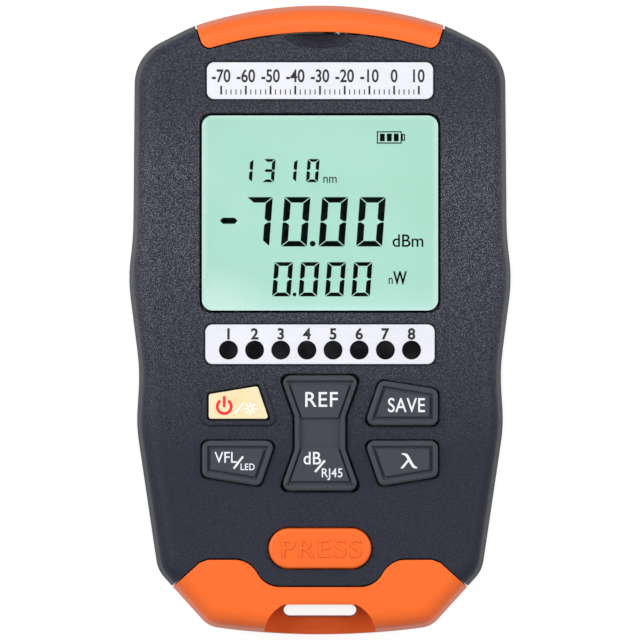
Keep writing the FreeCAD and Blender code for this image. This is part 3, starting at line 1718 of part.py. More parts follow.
def lying_stub(name, x, start, stop, side):
    """Cone of the coiled spring that meets a cell's end."""
    item = doc.addObject("Part::Cone", name)
    bind(item, "Radius1", s.coil_wide)
    bind(item, "Radius2", s.coil_narrow)
    bind(item, "Height", (start - stop) * side - 0.05)
    item.Placement.Rotation = FreeCAD.Rotation(FreeCAD.Vector(1, 0, 0), 90 * side)
    bind(item, "Placement.Base.x", x)
    bind(item, "Placement.Base.y", start)
    bind(item, "Placement.Base.z", cell_axis)
    return item


def make_battery_door():
    """Battery door with two hooked tabs and a snap finger."""
    body = sub_part("battery_door")
    half = door_half_width
    high = s.door_low + s.door_thickness
    far_end = s.bay_place + door_half_length
    box_pad(body, (-half, door_low_end, s.door_low), (half, far_end, high))
    tab_low = s.floor_wall + s.tab_lift
    tab_high = tab_low + s.tab_thickness
    neck_y = door_low_end + s.tab_root
    for x in tab_columns():
        left = x - s.door_tab_width / 2
        right = x + s.door_tab_width / 2
        reach = door_low_end - s.door_gap - s.door_tab_reach
        box_pad(body, (left, reach, tab_low), (right, neck_y, tab_high))
        box_pad(body, (left, door_low_end, high - 0.2), (right, neck_y, tab_high))
    finger_y = s.bay_place + bay_half_length - s.snap_gap
    side = s.door_snap_width / 2
    low = (-side, finger_y - s.snap_thickness, high - 0.2)
    box_pad(body, low, (side, finger_y, high + s.snap_height))
    finger_ribs(body, far_end)


def finger_ribs(body, far_end):
    """Low ribs outside the snap finger, where a thumb pulls the door."""
    sketch = sketch_at(body, "XY_Plane", s.door_low - s.rib_proud)
    half = s.rib_length / 2
    for index in range(int(s.rib_count.value)):
        far = far_end - s.rib_inset - index * s.rib_pitch
        rectangle(sketch, -half, far - s.rib_width, half, far)
    pad(body, sketch, s.rib_proud + 0.1)


# -------------------------------------------------------------------- build
def build():
    """Make every sub-part."""
    make_front_shell()
    make_rear_shell()
    make_top_flap()
    make_hinge_pin()
    make_port_panel()
    make_main_jack()
    make_ports()
    can_behind("photodiode", s.meter_port_place, s.meter_port_height,
               s.photodiode_radius, s.photodiode_length)
    can_behind("laser_diode", s.laser_port_place, s.laser_port_height,
               s.laser_can_radius, s.laser_can_length)
    make_torch()
    make_face_plates()
    make_lenses()
    make_display()
    make_board()
    make_board_screws()
    make_switches()
    make_leds()
    make_case_screws()
    make_power_key()
    make_keys()
    make_rocker()
    make_release_button()
    make_latch_spring()
    make_dock_liner()
    make_remote_front()
    make_remote_rear()
    make_remote_inside()
    make_cells()
    make_contacts()
    make_battery_door()


def check():
    """Stop if anything in the document failed, before a file is written."""
    doc.recompute()
    failed = [item.Name for item in doc.Objects if "Invalid" in item.State or "Error" in item.State]
    if failed:
        raise RuntimeError(f"failed: {failed}")
    for item in sub_parts:
        shape = item.Shape
        if shape.isNull() or not shape.isValid() or not shape.Solids:
            raise RuntimeError(f"{item.Label} has no valid solid")


def write():
    """Write each sub-part to a file named after it."""
    os.makedirs("parts", exist_ok=True)
    for item in sub_parts:
        item.Shape.exportStep(f"parts/{item.Label}.step")


build()
check()
write()
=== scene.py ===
import math

import bmesh
import bpy
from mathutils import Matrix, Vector


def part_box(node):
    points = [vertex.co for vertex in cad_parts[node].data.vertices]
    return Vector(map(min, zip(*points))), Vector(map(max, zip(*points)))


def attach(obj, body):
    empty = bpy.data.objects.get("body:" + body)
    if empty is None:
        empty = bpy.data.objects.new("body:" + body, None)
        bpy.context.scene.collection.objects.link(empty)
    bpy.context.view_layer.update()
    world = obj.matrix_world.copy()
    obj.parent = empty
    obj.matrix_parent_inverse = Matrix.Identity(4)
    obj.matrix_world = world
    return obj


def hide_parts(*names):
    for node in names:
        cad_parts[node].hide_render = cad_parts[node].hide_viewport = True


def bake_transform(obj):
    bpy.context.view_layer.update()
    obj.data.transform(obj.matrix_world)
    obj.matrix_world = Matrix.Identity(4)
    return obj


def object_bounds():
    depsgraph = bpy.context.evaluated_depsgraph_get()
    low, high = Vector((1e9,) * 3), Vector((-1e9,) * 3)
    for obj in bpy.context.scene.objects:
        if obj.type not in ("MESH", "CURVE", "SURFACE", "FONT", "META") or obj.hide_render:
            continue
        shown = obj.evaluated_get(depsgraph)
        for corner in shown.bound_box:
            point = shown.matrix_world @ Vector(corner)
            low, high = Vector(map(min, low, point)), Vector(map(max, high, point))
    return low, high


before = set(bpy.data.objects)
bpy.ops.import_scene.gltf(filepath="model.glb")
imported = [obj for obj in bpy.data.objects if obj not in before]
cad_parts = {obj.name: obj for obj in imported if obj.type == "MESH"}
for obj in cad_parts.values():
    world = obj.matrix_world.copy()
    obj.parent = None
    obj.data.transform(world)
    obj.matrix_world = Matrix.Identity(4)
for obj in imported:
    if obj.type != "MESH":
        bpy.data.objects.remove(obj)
cad_low, cad_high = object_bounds()

# ---------------------------------------------------------------------------------------
# Main board: glass-fibre sheet with copper tracks under green lacquer, held to the front
# shell's posts by four screws. Switches, lamps and the ports are soldered to it.
MM = 0.001
TRACKS_PER_METRE = 330.0
WEAVE_PER_METRE = 1400.0
TRACK_RISE = 0.03 * MM


def new_material(slot):
    """A material named for its finish, its node tree and its shader."""
    material = bpy.data.materials.new(slot)
    material.use_nodes = True
    tree = material.node_tree
    return material, tree, tree.nodes["Principled BSDF"]


def add(tree, kind, settings=None, **inputs):
    """A new node. Settings are its properties; inputs are socket values or links."""
    made = tree.nodes.new(kind)
    for name, value in (settings or {}).items():
        setattr(made, name, value)
    for name, value in inputs.items():
        socket = made.inputs[int(name[1:])] if name[1:].isdigit() else made.inputs[name.replace("_", " ")]
        if isinstance(value, bpy.types.NodeSocket):
            tree.links.new(value, socket)
        else:
            socket.default_value = value
    return made


def own_place(tree):
    """Where a point of the piece is, in metres."""
    return add(tree, "ShaderNodeTexCoord").outputs["Object"]


def band(tree, value, low, high, low_out=0.0, high_out=1.0):
    """A value taken from one range to another, and kept inside it."""
    return add(
        tree, "ShaderNodeMapRange", Value=value, _1=low, _2=high, _3=low_out, _4=high_out
    ).outputs["Result"]


def clouds(tree, per_metre, detail=2.0):
    """Soft noise over the piece, with its number of swells to a metre."""
    noise = add(tree, "ShaderNodeTexNoise", Vector=own_place(tree), Scale=per_metre, Detail=detail)
    return noise.outputs["Fac"]


def blended(tree, mask, first, second):
    """One colour where the mask is 0 and the other where it is 1."""
    return add(
        tree, "ShaderNodeMix", {"data_type": "RGBA"}, _0=mask, _6=first, _7=second
    ).outputs[2]


def tinted(red, green, blue):
    """A solid colour, given as light."""
    return (red, green, blue, 1.0)


def bumped(tree, shader, height, depth, strength=1.0):
    """Raises the surface by a height map: depth is the height of a full step, in metres."""
    bump = add(tree, "ShaderNodeBump", Height=height, Distance=depth, Strength=strength)
    tree.links.new(bump.outputs["Normal"], shader.inputs["Normal"])


def clad(material, *nodes):
    """Gives CAD nodes their material."""
    for name in nodes:
        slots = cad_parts[name].data.materials
        slots.clear()
        slots.append(material)


def board_material():
    """Green lacquer, paler over the tracks, which run straight and turn square."""
    material, tree, shader = new_material("board")
    place = own_place(tree)
    squares = add(
        tree, "ShaderNodeTexVoronoi", {"distance": "CHEBYCHEV"}, Vector=place, Scale=TRACKS_PER_METRE
    ).outputs["Distance"]
    track = band(tree, squares, 0.30, 0.34)
    weave = add(tree, "ShaderNodeTexNoise", Vector=place, Scale=WEAVE_PER_METRE, Detail=2.0).outputs["Fac"]
    lacquer = blended(tree, track, tinted(0.012, 0.11, 0.045), tinted(0.02, 0.19, 0.07))
    shade = band(tree, weave, 0.3, 0.7, 0.0, 0.25)
    colour = blended(tree, shade, lacquer, tinted(0.05, 0.25, 0.1))
    tree.links.new(colour, shader.inputs["Base Color"])
    tree.links.new(band(tree, weave, 0.2, 0.8, 0.28, 0.4), shader.inputs["Roughness"])
    bumped(tree, shader, track, TRACK_RISE)
    return material


clad(board_material(), "main_board", "remote_board")


# ---------------------------------------------------------------------------------------
# Tact switches and lamps on the board: black moulded switch bodies, and milky lamps in a
# row behind the panel's windows, all soldered. The same black plastic is moulded into the
# display frame, the two sockets, the port panel and the dock liner.
DRIFT_PER_METRE = 45.0


def new_group(name, inputs, outputs):
    """An empty shader node group with named sockets, and its two end nodes."""
    group = bpy.data.node_groups.new(name, "ShaderNodeTree")
    kinds = {"colour": "NodeSocketColor", "value": "NodeSocketFloat", "vector": "NodeSocketVector"}
    for side, sockets in (("INPUT", inputs), ("OUTPUT", outputs)):
        for socket, kind in sockets.items():
            group.interface.new_socket(socket, in_out=side, socket_type=kinds[kind])
    return group, group.nodes.new("NodeGroupInput"), group.nodes.new("NodeGroupOutput")


def sums(tree, operation, first, second=0.0):
    """One step of arithmetic on two values."""
    return add(tree, "ShaderNodeMath", {"operation": operation}, _0=first, _1=second).outputs[0]


def moulded_grain():
    """The relief that a spark-eroded mould leaves: fine pits, brighter flecks painted into the colour as
    glints where the tops of the grain would catch light, slow colour drift, and edges that aren't quite
    sharp."""
    group, given, result = new_group(
        "moulded_grain",
        {
            "Colour": "colour",
            "Fleck Colour": "colour",
            "Grain Size": "value",
            "Flecks": "value",
            "Depth": "value",
            "Edge Round": "value",
            "Roughness": "value",
        },
        {"Colour": "colour", "Roughness": "value", "Normal": "vector"},
    )
    place = own_place(group)
    scale = sums(group, "DIVIDE", 1.0, given.outputs["Grain Size"])
    pits = add(group, "ShaderNodeTexNoise", Vector=place, Scale=scale, Detail=2.0).outputs["Fac"]
    tops = add(group, "ShaderNodeTexVoronoi", Vector=place, Scale=scale).outputs["Distance"]
    drift = add(group, "ShaderNodeTexNoise", Vector=place, Scale=DRIFT_PER_METRE, Detail=3.0).outputs["Fac"]
    peak = sums(group, "MULTIPLY", band(group, tops, 0.46, 0.2), band(group, pits, 0.4, 0.56))
    flecks = sums(group, "MULTIPLY", peak, given.outputs["Flecks"])
    shade = band(group, drift, 0.3, 0.7, 0.0, 0.35)
    darker = add(group, "ShaderNodeHueSaturation", Value=0.82, Color=given.outputs["Colour"])
    base = blended(group, shade, given.outputs["Colour"], darker.outputs["Color"])
    # Painted glints: the fleck colour is mixed into the colour where the grain's tops would catch light.
    colour = blended(group, flecks, base, given.outputs["Fleck Colour"])
    rough = sums(group, "ADD", given.outputs["Roughness"], band(group, pits, 0.3, 0.7, -0.06, 0.08))
    soft_edge = add(group, "ShaderNodeBevel", {"samples": 4}, Radius=given.outputs["Edge Round"])
    relief = sums(group, "SUBTRACT", pits, sums(group, "MULTIPLY", tops, 0.5))
    bump = add(
        group,
        "ShaderNodeBump",
        Height=relief,
        Distance=given.outputs["Depth"],
        Normal=soft_edge.outputs["Normal"],
    )
    group.links.new(colour, result.inputs["Colour"])
    group.links.new(rough, result.inputs["Roughness"])
    group.links.new(bump.outputs["Normal"], result.inputs["Normal"])
    return group


grain = moulded_grain()


def moulded(slot, colour, flecks, grain_size, depth, roughness, fleck_amount=0.5, edge=0.15 * MM):
    """Moulded plastic or rubber: the shared grain with this piece's own values."""
    material, tree, shader = new_material(slot)
    look = add(tree, "ShaderNodeGroup", {"node_tree": grain})
    values = {
        "Colour": colour,
        "Fleck Colour": flecks,
        "Grain Size": grain_size,
        "Flecks": fleck_amount,
        "Depth": depth,
        "Edge Round": edge,
        "Roughness": roughness,
    }
    for name, value in values.items():
        look.inputs[name].default_value = value
    tree.links.new(look.outputs["Colour"], shader.inputs["Base Color"])
    tree.links.new(look.outputs["Roughness"], shader.inputs["Roughness"])
    tree.links.new(look.outputs["Normal"], shader.inputs["Normal"])
    return material, shader


black_plastic, shader = moulded(
    "black_plastic", tinted(0.012, 0.012, 0.014), tinted(0.03, 0.03, 0.034), 0.12 * MM, 0.004 * MM, 0.42
)
clad(
    black_plastic, "tact_switches", "display_frame", "cable_jack", "remote_jack", "port_panel", "dock_liner"
)


def milky_material():
    """Lamp and light-guide plastic: milky, a little deeper in colour in soft patches."""
    material, tree, shader = new_material("diffuser")
    haze = clouds(tree, 260.0)
    colour = blended(tree, haze, tinted(0.74, 0.8, 0.74), tinted(0.86, 0.9, 0.88))
    tree.links.new(colour, shader.inputs["Base Color"])
    tree.links.new(band(tree, haze, 0.3, 0.7, 0.2, 0.32), shader.inputs["Roughness"])
    shader.inputs["Transmission Weight"].default_value = 0.25
    return material


clad(milky_material(), "indicator_lamps", "display_backlight")


# ---------------------------------------------------------------------------------------
# Liquid-crystal display: a glass cell with a green-white reflector lit from its rim, and
# dark segments etched as electrodes. A black frame holds it on the board.
display_low, display_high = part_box("display_window")
display_middle = (display_low + display_high) / 2
display_half = (display_high - display_low) / 2
panel_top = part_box("display_panel")[1].z
SEGMENT_GAP = 0.11 * MM
SEGMENT_THICKNESS = 0.03 * MM
SEGMENT_SLANT = 0.075
SEGMENTS_LIT = {"0": "abcdef", "1": "bc", "3": "abcdg", "7": "abc"}


def backlit_material():
    """The lit reflector: even mint in the middle, paler at the rim and the lower corners."""
    material, tree, shader = new_material("lcd")
    place = add(
        tree, "ShaderNodeMapping", {"vector_type": "TEXTURE"}, Vector=own_place(tree),
        Location=(display_middle.x, display_middle.y, 0.0), Scale=(display_half.x, display_half.y, 1.0),
    ).outputs["Vector"]
    parts = add(tree, "ShaderNodeSeparateXYZ", Vector=place)
    across, up = (sums(tree, "ABSOLUTE", parts.outputs[axis]) for axis in ("X", "Y"))
    rim = band(tree, sums(tree, "MAXIMUM", across, up), 0.93, 1.0)
    corner = add(tree, "ShaderNodeVectorMath", {"operation": "DISTANCE"}, _0=place, _1=(-0.9, -1.05, 0.0))
    glow = band(tree, corner.outputs["Value"], 0.55, 0.0)
    foot = band(tree, parts.outputs["Y"], -0.72, -1.0)
    haze = clouds(tree, 70.0)
    mint = blended(tree, band(tree, haze, 0.3, 0.7), tinted(0.46, 0.8, 0.67), tinted(0.5, 0.84, 0.72))
    lower = blended(tree, foot, mint, tinted(0.56, 0.89, 0.8))
    lit = blended(tree, sums(tree, "MAXIMUM", rim, glow), lower, tinted(0.74, 0.97, 0.9))
    tree.links.new(lit, shader.inputs["Emission Color"])
    shader.inputs["Emission Strength"].default_value = 0.92
    shader.inputs["Base Color"].default_value = tinted(0.05, 0.09, 0.07)
    shader.inputs["Roughness"].default_value = 0.35
    shader.inputs["Specular IOR Level"].default_value = 0.2
    return material


clad(backlit_material(), "display_panel")


def on_body(name, mesh, material, body):
    """A mesh in its material, as a piece that moves with a body."""
    mesh.materials.append(material)
    piece = bpy.data.objects.new(name, mesh)
    bpy.context.scene.collection.objects.link(piece)
    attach(piece, body)
    return piece


def solid_piece(name, outlines, low, high, material, body):
    """Flat outlines raised into closed solids between two levels, as one piece."""
    mesh = bpy.data.meshes.new(name)
    shape = bmesh.new()
    for outline in outlines:
        foot = [shape.verts.new((x, y, low)) for x, y in outline]
        face = shape.faces.new(foot)
        lifted = bmesh.ops.extrude_face_region(shape, geom=[face])["geom"]
        for point in lifted:
            if isinstance(point, bmesh.types.BMVert):
                point.co.z = high
    bmesh.ops.recalc_face_normals(shape, faces=shape.faces)
    shape.to_mesh(mesh)
    shape.free()
    return on_body(name, mesh, material, body)


def placed(outline, x, y, slant=0.0):
    """An outline moved to its place and leant over by its slant."""
    return [(x + px + py * slant, y + py) for px, py in outline]


def digit(shown, width, height, stroke):
    """The lit segments of one seven-segment digit, mitred where they meet. The level ones
    are a little thinner than the upright ones."""
    gap = SEGMENT_GAP
    middle = height / 2
    flat = stroke * 0.82
    upper = [
        (width, height - gap),
        (width - stroke, height - flat - gap),
        (width - stroke, middle + flat * 0.45 + gap),
        (width - stroke * 0.45, middle + gap),
        (width - stroke * 0.1, middle + gap),
        (width, middle + flat * 0.15 + gap),
    ]
    lower = [(x, height - y) for x, y in reversed(upper)]
    top = [
        (gap, height),
        (gap + stroke, height - flat),
        (width - stroke - gap, height - flat),
        (width - gap, height),
    ]
    bottom = [(x, height - y) for x, y in reversed(top)]
    dash = [
        (stroke * 0.5, middle),
        (stroke, middle - flat / 2),
        (width - stroke, middle - flat / 2),
        (width - stroke * 0.5, middle),
        (width - stroke, middle + flat / 2),
        (stroke, middle + flat / 2),
    ]
    shapes = {
        "b": upper, "c": lower,
        "f": [(width - x, y) for x, y in reversed(upper)],
        "e": [(width - x, y) for x, y in reversed(lower)],
        "a": top, "d": bottom, "g": dash,
    }
    return [shapes[segment] for segment in SEGMENTS_LIT[shown]]


def dot(radius, sides=32):
    """The outline of a round dot."""
    turns = [2 * math.pi * step / sides for step in range(sides)]
    return [(radius * math.cos(turn), radius * math.sin(turn)) for turn in turns]


def reading(text, right, base, height, width, pitch, stroke, point_after=None):
    """A row of digits that ends at its right edge, with its decimal point if it has one."""
    point = stroke * 0.42
    outlines = []
    for place, shown in enumerate(text):
        left = right - width - SEGMENT_SLANT * height - pitch * (len(text) - 1 - place)
        for segment in digit(shown, width, height, stroke):
            outlines.append(placed(segment, left, base, SEGMENT_SLANT))
        if place == point_after:
            outlines.append(placed(dot(point), left + (width + pitch) / 2, base + point))
    return outlines


def segment_material():
    """Switched-on liquid crystal: nearly black, with a breath of green in it."""
    material, tree, shader = new_material("lcd_segments")
    haze = clouds(tree, 900.0)
    colour = blended(tree, haze, tinted(0.002, 0.004, 0.004), tinted(0.006, 0.012, 0.011))
    tree.links.new(colour, shader.inputs["Base Color"])
    shader.inputs["Roughness"].default_value = 0.5
    shader.inputs["Specular IOR Level"].default_value = 0.0
    return material


dark_segments = segment_material()
panel_x, panel_y = display_middle.x, display_middle.y
segments = []
for text, right, base, height, width, pitch, upright, point_after in (
    ("1310", -0.05, 6.0, 4.5, 2.35, 4.28, 0.66, None),
    ("7000", 12.8, -6.5, 9.6, 5.05, 7.32, 1.3, 1),
    ("0000", 10.2, -16.2, 6.65, 3.6, 5.14, 0.9, 0),
):
    segments += reading(
        text, panel_x + right * MM, panel_y + base * MM, height * MM, width * MM, pitch * MM, upright * MM,
        point_after,
    )
minus = [(-1.75, 0.0), (-1.15, -0.6), (1.15, -0.6), (1.75, 0.0), (1.15, 0.6), (-1.15, 0.6)]
segments.append([(panel_x + (x - 17.75) * MM, panel_y + (y - 1.5) * MM) for x, y in minus])


def bar(left, low, right, high):
    """The outline of a filled bar."""
    return [(left, low), (right, low), (right, high), (left, high)]


def box_lines(left, low, right, high, line):
    """The four bars of a drawn box."""
    return [
        bar(left, low, right, low + line),
        bar(left, high - line, right, high),
        bar(left, low + line, left + line, high - line),
        bar(right - line, low + line, right, high - line),
    ]


battery = box_lines(-2.95, -1.2, 1.9, 1.2, 0.22)
battery += box_lines(1.9, -0.65, 2.55, 0.65, 0.22)
battery += [bar(left, -0.75, left + 0.95, 0.75) for left in (-2.35, -1.0, 0.35)]
segments += [[(panel_x + (x + 14.0) * MM, panel_y + (y + 14.7) * MM) for x, y in part] for part in battery]
solid_piece("lcd_readings", segments, panel_top, panel_top + SEGMENT_THICKNESS, dark_segments, "body")
CAPITAL = 0.69  # height of a capital in the font, for a size of 1


def lettering(
    name, text, height, place, level, thickness, material, body, weight=0.0, squeeze=1.0, spacing=1.0
):
    """Raised or printed letters: a text made into a mesh, then put in its place. The place
    is the middle of the text, and its height is that of a capital."""
    curve = bpy.data.curves.new(name, "FONT")
    curve.body = text
    curve.offset = weight
    curve.space_character = spacing
    curve.extrude = 0.5
    writing = bpy.data.objects.new(name, curve)
    bpy.context.scene.collection.objects.link(writing)
    depsgraph = bpy.context.evaluated_depsgraph_get()
    mesh = bpy.data.meshes.new_from_object(writing.evaluated_get(depsgraph))
    bpy.data.objects.remove(writing)
    scale = height / CAPITAL
    xs = [point.co.x for point in mesh.vertices]
    middle = (min(xs) + max(xs)) / 2
    for point in mesh.vertices:
        point.co = (
            place[0] + (point.co.x - middle) * scale * squeeze,
            place[1] + (point.co.y - CAPITAL / 2) * scale,
            level + (point.co.z + 0.5) * thickness,
        )
    mesh.materials.clear()
    return on_body(name, mesh, material, body)


for name, text, height, x, y, weight, squeeze in (
    ("lcd_unit_wavelength", "nm", 1.75, 1.95, 6.75, 0.005, 0.88),
    ("lcd_unit_level", "dBm", 2.4, 17.1, -5.35, 0.007, 0.98),
    ("lcd_unit_nano", "n", 1.75, 13.75, -12.9, 0.007, 0.8),
    ("lcd_unit_power", "W", 2.45, 15.55, -12.6, 0.025, 0.68),
):
    lettering(name, text, height * MM, (panel_x + x * MM, panel_y + y * MM), panel_top, SEGMENT_THICKNESS,
              dark_segments, "body", weight, squeeze)


# ---------------------------------------------------------------------------------------
# Cells and contacts: three plain sleeved dry cells with bare metal ends, held between
# plated steel contact plates at the two ends of their bay.
cells_low, cells_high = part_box("battery_cells")
SLEEVE_END = 1.1 * MM


def sleeve_material():
    """A shrunk plastic sleeve with a paler band near one end, and steel cell ends."""
    material, tree, shader = new_material("cell_sleeve")
    along = add(tree, "ShaderNodeSeparateXYZ", Vector=own_place(tree)).outputs["Y"]
    middle = (cells_low.y + cells_high.y) / 2
    reach = (cells_high.y - cells_low.y) / 2 - SLEEVE_END
    off_middle = sums(tree, "ABSOLUTE", sums(tree, "SUBTRACT", along, middle))
    bare = band(tree, off_middle, reach, reach + 0.05 * MM)
    paler = band(tree, along, middle + 0.3 * reach, middle + 0.31 * reach)
    creases = clouds(tree, 700.0, 3.0)
    sleeve = blended(tree, paler, tinted(0.02, 0.028, 0.05), tinted(0.55, 0.3, 0.12))
    colour = blended(tree, bare, sleeve, tinted(0.6, 0.6, 0.6))
    tree.links.new(colour, shader.inputs["Base Color"])
    tree.links.new(bare, shader.inputs["Metallic"])
    tree.links.new(band(tree, creases, 0.3, 0.7, 0.22, 0.38), shader.inputs["Roughness"])
    bumped(tree, shader, creases, 0.01 * MM, 0.4)
    return material


clad(sleeve_material(), "battery_cells")


def drawn_metal():
    """Fine parallel lines left on metal by rolling or turning, stretched along one axis."""
    group, given, result = new_group(
        "drawn_metal", {"Stretch": "vector", "Colour": "colour", "Roughness": "value"},
        {"Colour": "colour", "Roughness": "value", "Height": "value"},
    )
    lines = add(group, "ShaderNodeVectorMath", {"operation": "MULTIPLY"},
                _0=own_place(group), _1=given.outputs["Stretch"])
    noise = add(
        group, "ShaderNodeTexNoise", Vector=lines.outputs["Vector"], Scale=1.0, Detail=4.0
    ).outputs["Fac"]
    stain = clouds(group, 120.0)
    deep = add(group, "ShaderNodeHueSaturation", Value=0.86, Color=given.outputs["Colour"])
    mask = band(group, sums(group, "ADD", noise, sums(group, "MULTIPLY", stain, 0.5)), 0.5, 1.0)
    colour = blended(group, mask, deep.outputs["Color"], given.outputs["Colour"])
    group.links.new(colour, result.inputs["Colour"])
    rough = sums(group, "ADD", given.outputs["Roughness"], band(group, noise, 0.3, 0.7, -0.05, 0.08))
    group.links.new(rough, result.inputs["Roughness"])
    group.links.new(noise, result.inputs["Height"])
    return group


drawn = drawn_metal()


def metal(slot, colour, stretch, roughness, metallic=1.0, depth=0.002 * MM):
    """Plated or printed metal: the shared drawn lines with this piece's own values."""
    material, tree, shader = new_material(slot)
    look = add(tree, "ShaderNodeGroup", {"node_tree": drawn})
    look.inputs["Stretch"].default_value = stretch
    look.inputs["Colour"].default_value = colour
    look.inputs["Roughness"].default_value = roughness
    tree.links.new(look.outputs["Colour"], shader.inputs["Base Color"])
    tree.links.new(look.outputs["Roughness"], shader.inputs["Roughness"])
    shader.inputs["Metallic"].default_value = metallic
    bumped(tree, shader, look.outputs["Height"], depth)
    return material


steel = metal("steel", tinted(0.56, 0.56, 0.58), (300.0, 4000.0, 4000.0), 0.3)
clad(
    steel, "battery_contacts", "latch_spring", "case_screws", "board_screws", "remote_screws",
    "flap_hinge_pin",
)


# ---------------------------------------------------------------------------------------
# Ports under the flap: two turned and nickel-plated ferrule sleeves with their optical
# parts behind them, a lamp with a clear lens, and an eight-way socket with gilt wires.
nickel = metal("nickel", tinted(0.7, 0.68, 0.63), (800.0, 6000.0, 800.0), 0.2)
clad(nickel, "meter_port", "laser_port", "photodiode", "laser_diode")


def clear_material(slot, colour, roughness, scratch_scale, scratch_depth):
    """Clear moulded plastic or glass with the faint scuffs of handling."""
    material, tree, shader = new_material(slot)
    scuffs = clouds(tree, scratch_scale, 5.0)
    worn = band(tree, scuffs, 0.55, 0.75)
    paler = tuple(min(1.0, part * 1.05) for part in colour[:3]) + (1.0,)
    tree.links.new(blended(tree, worn, colour, paler), shader.inputs["Base Color"])
    tree.links.new(band(tree, worn, 0.0, 1.0, roughness, roughness + 0.03), shader.inputs["Roughness"])
    shader.inputs["Transmission Weight"].default_value = 1.0
    shader.inputs["IOR"].default_value = 1.46
    bumped(tree, shader, scuffs, scratch_depth, 0.3)
    return material


clad(clear_material("clear_lens", tinted(0.9, 0.94, 0.97), 0.03, 500.0, 0.001 * MM), "torch_lamp")


def new_tree(name, inputs):
    """An empty Geometry Nodes tree with named inputs, and its two end nodes."""
    tree = bpy.data.node_groups.new(name, "GeometryNodeTree")
    kinds = {
        "geometry": "NodeSocketGeometry", "count": "NodeSocketInt", "vector": "NodeSocketVector",
        "value": "NodeSocketFloat", "material": "NodeSocketMaterial",
    }
    tree.interface.new_socket("Geometry", in_out="INPUT", socket_type="NodeSocketGeometry")
    for socket, kind in inputs.items():
        tree.interface.new_socket(socket, in_out="INPUT", socket_type=kinds[kind])
    tree.interface.new_socket("Geometry", in_out="OUTPUT", socket_type="NodeSocketGeometry")
    return tree, tree.nodes.new("NodeGroupInput"), tree.nodes.new("NodeGroupOutput")


def closed(tree, given, result, geometry):
    """Ends a tree: its instances made real, in its material."""
    real = add(tree, "GeometryNodeRealizeInstances", Geometry=geometry)
    material = given.outputs["Material"]
    done = add(tree, "GeometryNodeSetMaterial", Geometry=real.outputs[0], Material=material)
    tree.links.new(done.outputs[0], result.inputs["Geometry"])
    return tree


def grown(name, tree, values, body):
    """Runs a Geometry Nodes tree and keeps what it makes as one plain mesh on a body."""
    piece = bpy.data.objects.new(name, bpy.data.meshes.new(name))
    bpy.context.scene.collection.objects.link(piece)
    modifier = piece.modifiers.new(name, "NODES")
    modifier.node_group = tree
    for socket in tree.interface.items_tree:
        if socket.name in values:
            modifier[socket.identifier] = values[socket.name]
    depsgraph = bpy.context.evaluated_depsgraph_get()
    piece.data = bpy.data.meshes.new_from_object(piece.evaluated_get(depsgraph))
    piece.modifiers.remove(modifier)
    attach(piece, body)
    return piece


def contact_row_tree():
    """Sprung wires side by side, each bent once between its root and its tip."""
    tree, given, result = new_tree(
        "contact_row",
        {"Wires": "count", "Pitch": "vector", "Root": "vector", "Bend": "vector", "Tip": "vector",
         "Wire Radius": "value", "Material": "material"},
    )
    path = add(tree, "GeometryNodeCurveQuadraticBezier", Start=given.outputs["Root"],
               Middle=given.outputs["Bend"], End=given.outputs["Tip"], Resolution=10)
    radius = given.outputs["Wire Radius"]
    round_wire = add(tree, "GeometryNodeCurvePrimitiveCircle", Resolution=8, Radius=radius)
    wire = add(tree, "GeometryNodeCurveToMesh", Curve=path.outputs[0], Profile_Curve=round_wire.outputs[0],
               Fill_Caps=True)
    row = add(tree, "GeometryNodeMeshLine", Count=given.outputs["Wires"], Offset=given.outputs["Pitch"])
    wires = add(tree, "GeometryNodeInstanceOnPoints", Points=row.outputs[0], Instance=wire.outputs[0])
    return closed(tree, given, result, wires.outputs[0])


contact_row = contact_row_tree()
gilt = metal("contact_gilt", tinted(0.75, 0.5, 0.18), (2000.0, 200.0, 2000.0), 0.22)
WIRES = 8
WIRE_PITCH = 1.02 * MM
WIRE_RADIUS = 0.17 * MM
WIRE_START = 2.2 * MM
WIRE_END = 9.5 * MM
ROOF_DEPTH = 3.6 * MM


def contacts(name, node, body, mouth, inward):
    """The eight wires of a socket: they leave its roof near the mouth and slope down to its
    back. Inward is 1 or -1, the way into the socket along its length."""
    low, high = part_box(node)
    roof = high.z - ROOF_DEPTH
    left = (low.x + high.x) / 2 - WIRE_PITCH * (WIRES - 1) / 2
    near = mouth + inward * WIRE_START
    far = mouth + inward * WIRE_END
    values = {
        "Wires": WIRES,
        "Pitch": (WIRE_PITCH, 0.0, 0.0),
        "Root": (left, near, roof),
        "Bend": (left, (near + far) / 2, roof - 0.8 * MM),
        "Tip": (left, far, roof - 3.4 * MM),
        "Wire Radius": WIRE_RADIUS,
        "Material": gilt,
    }
    return grown(name, contact_row, values, body)


contacts("cable_jack_wires", "cable_jack", "body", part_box("cable_jack")[1].y, -1.0)


# ---------------------------------------------------------------------------------------
# Case: front and rear shells and battery door, moulded in dark blue-grey ABS with a
# spark-eroded grain, the shells screwed together from behind. The painted glints of the grain fade
# towards the lower end and by the upper plate, and the scoop under the flap is painted darker as painted
# shade.
CASE_COLOUR = tinted(0.0145, 0.0165, 0.028)
# Painted shade colour for the thumb scoop under the flap.
SCOOP_SHADE_COLOUR = tinted(0.007, 0.006, 0.011)
SCOOP_HALF_WIDTH = 7.5 * MM
SCOOP_REACH = 4.0 * MM
scoop_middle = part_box("top_flap")[1].y - 4.2 * MM
case_plastic, shader = moulded(
    "case_plastic", CASE_COLOUR, tinted(0.33, 0.32, 0.34), 0.17 * MM, 0.04 * MM, 0.5
)
shader.inputs["Specular IOR Level"].default_value = 0.16
tree = case_plastic.node_tree
look = next(node for node in tree.nodes if node.type == "GROUP")
where = add(tree, "ShaderNodeSeparateXYZ", Vector=own_place(tree)).outputs
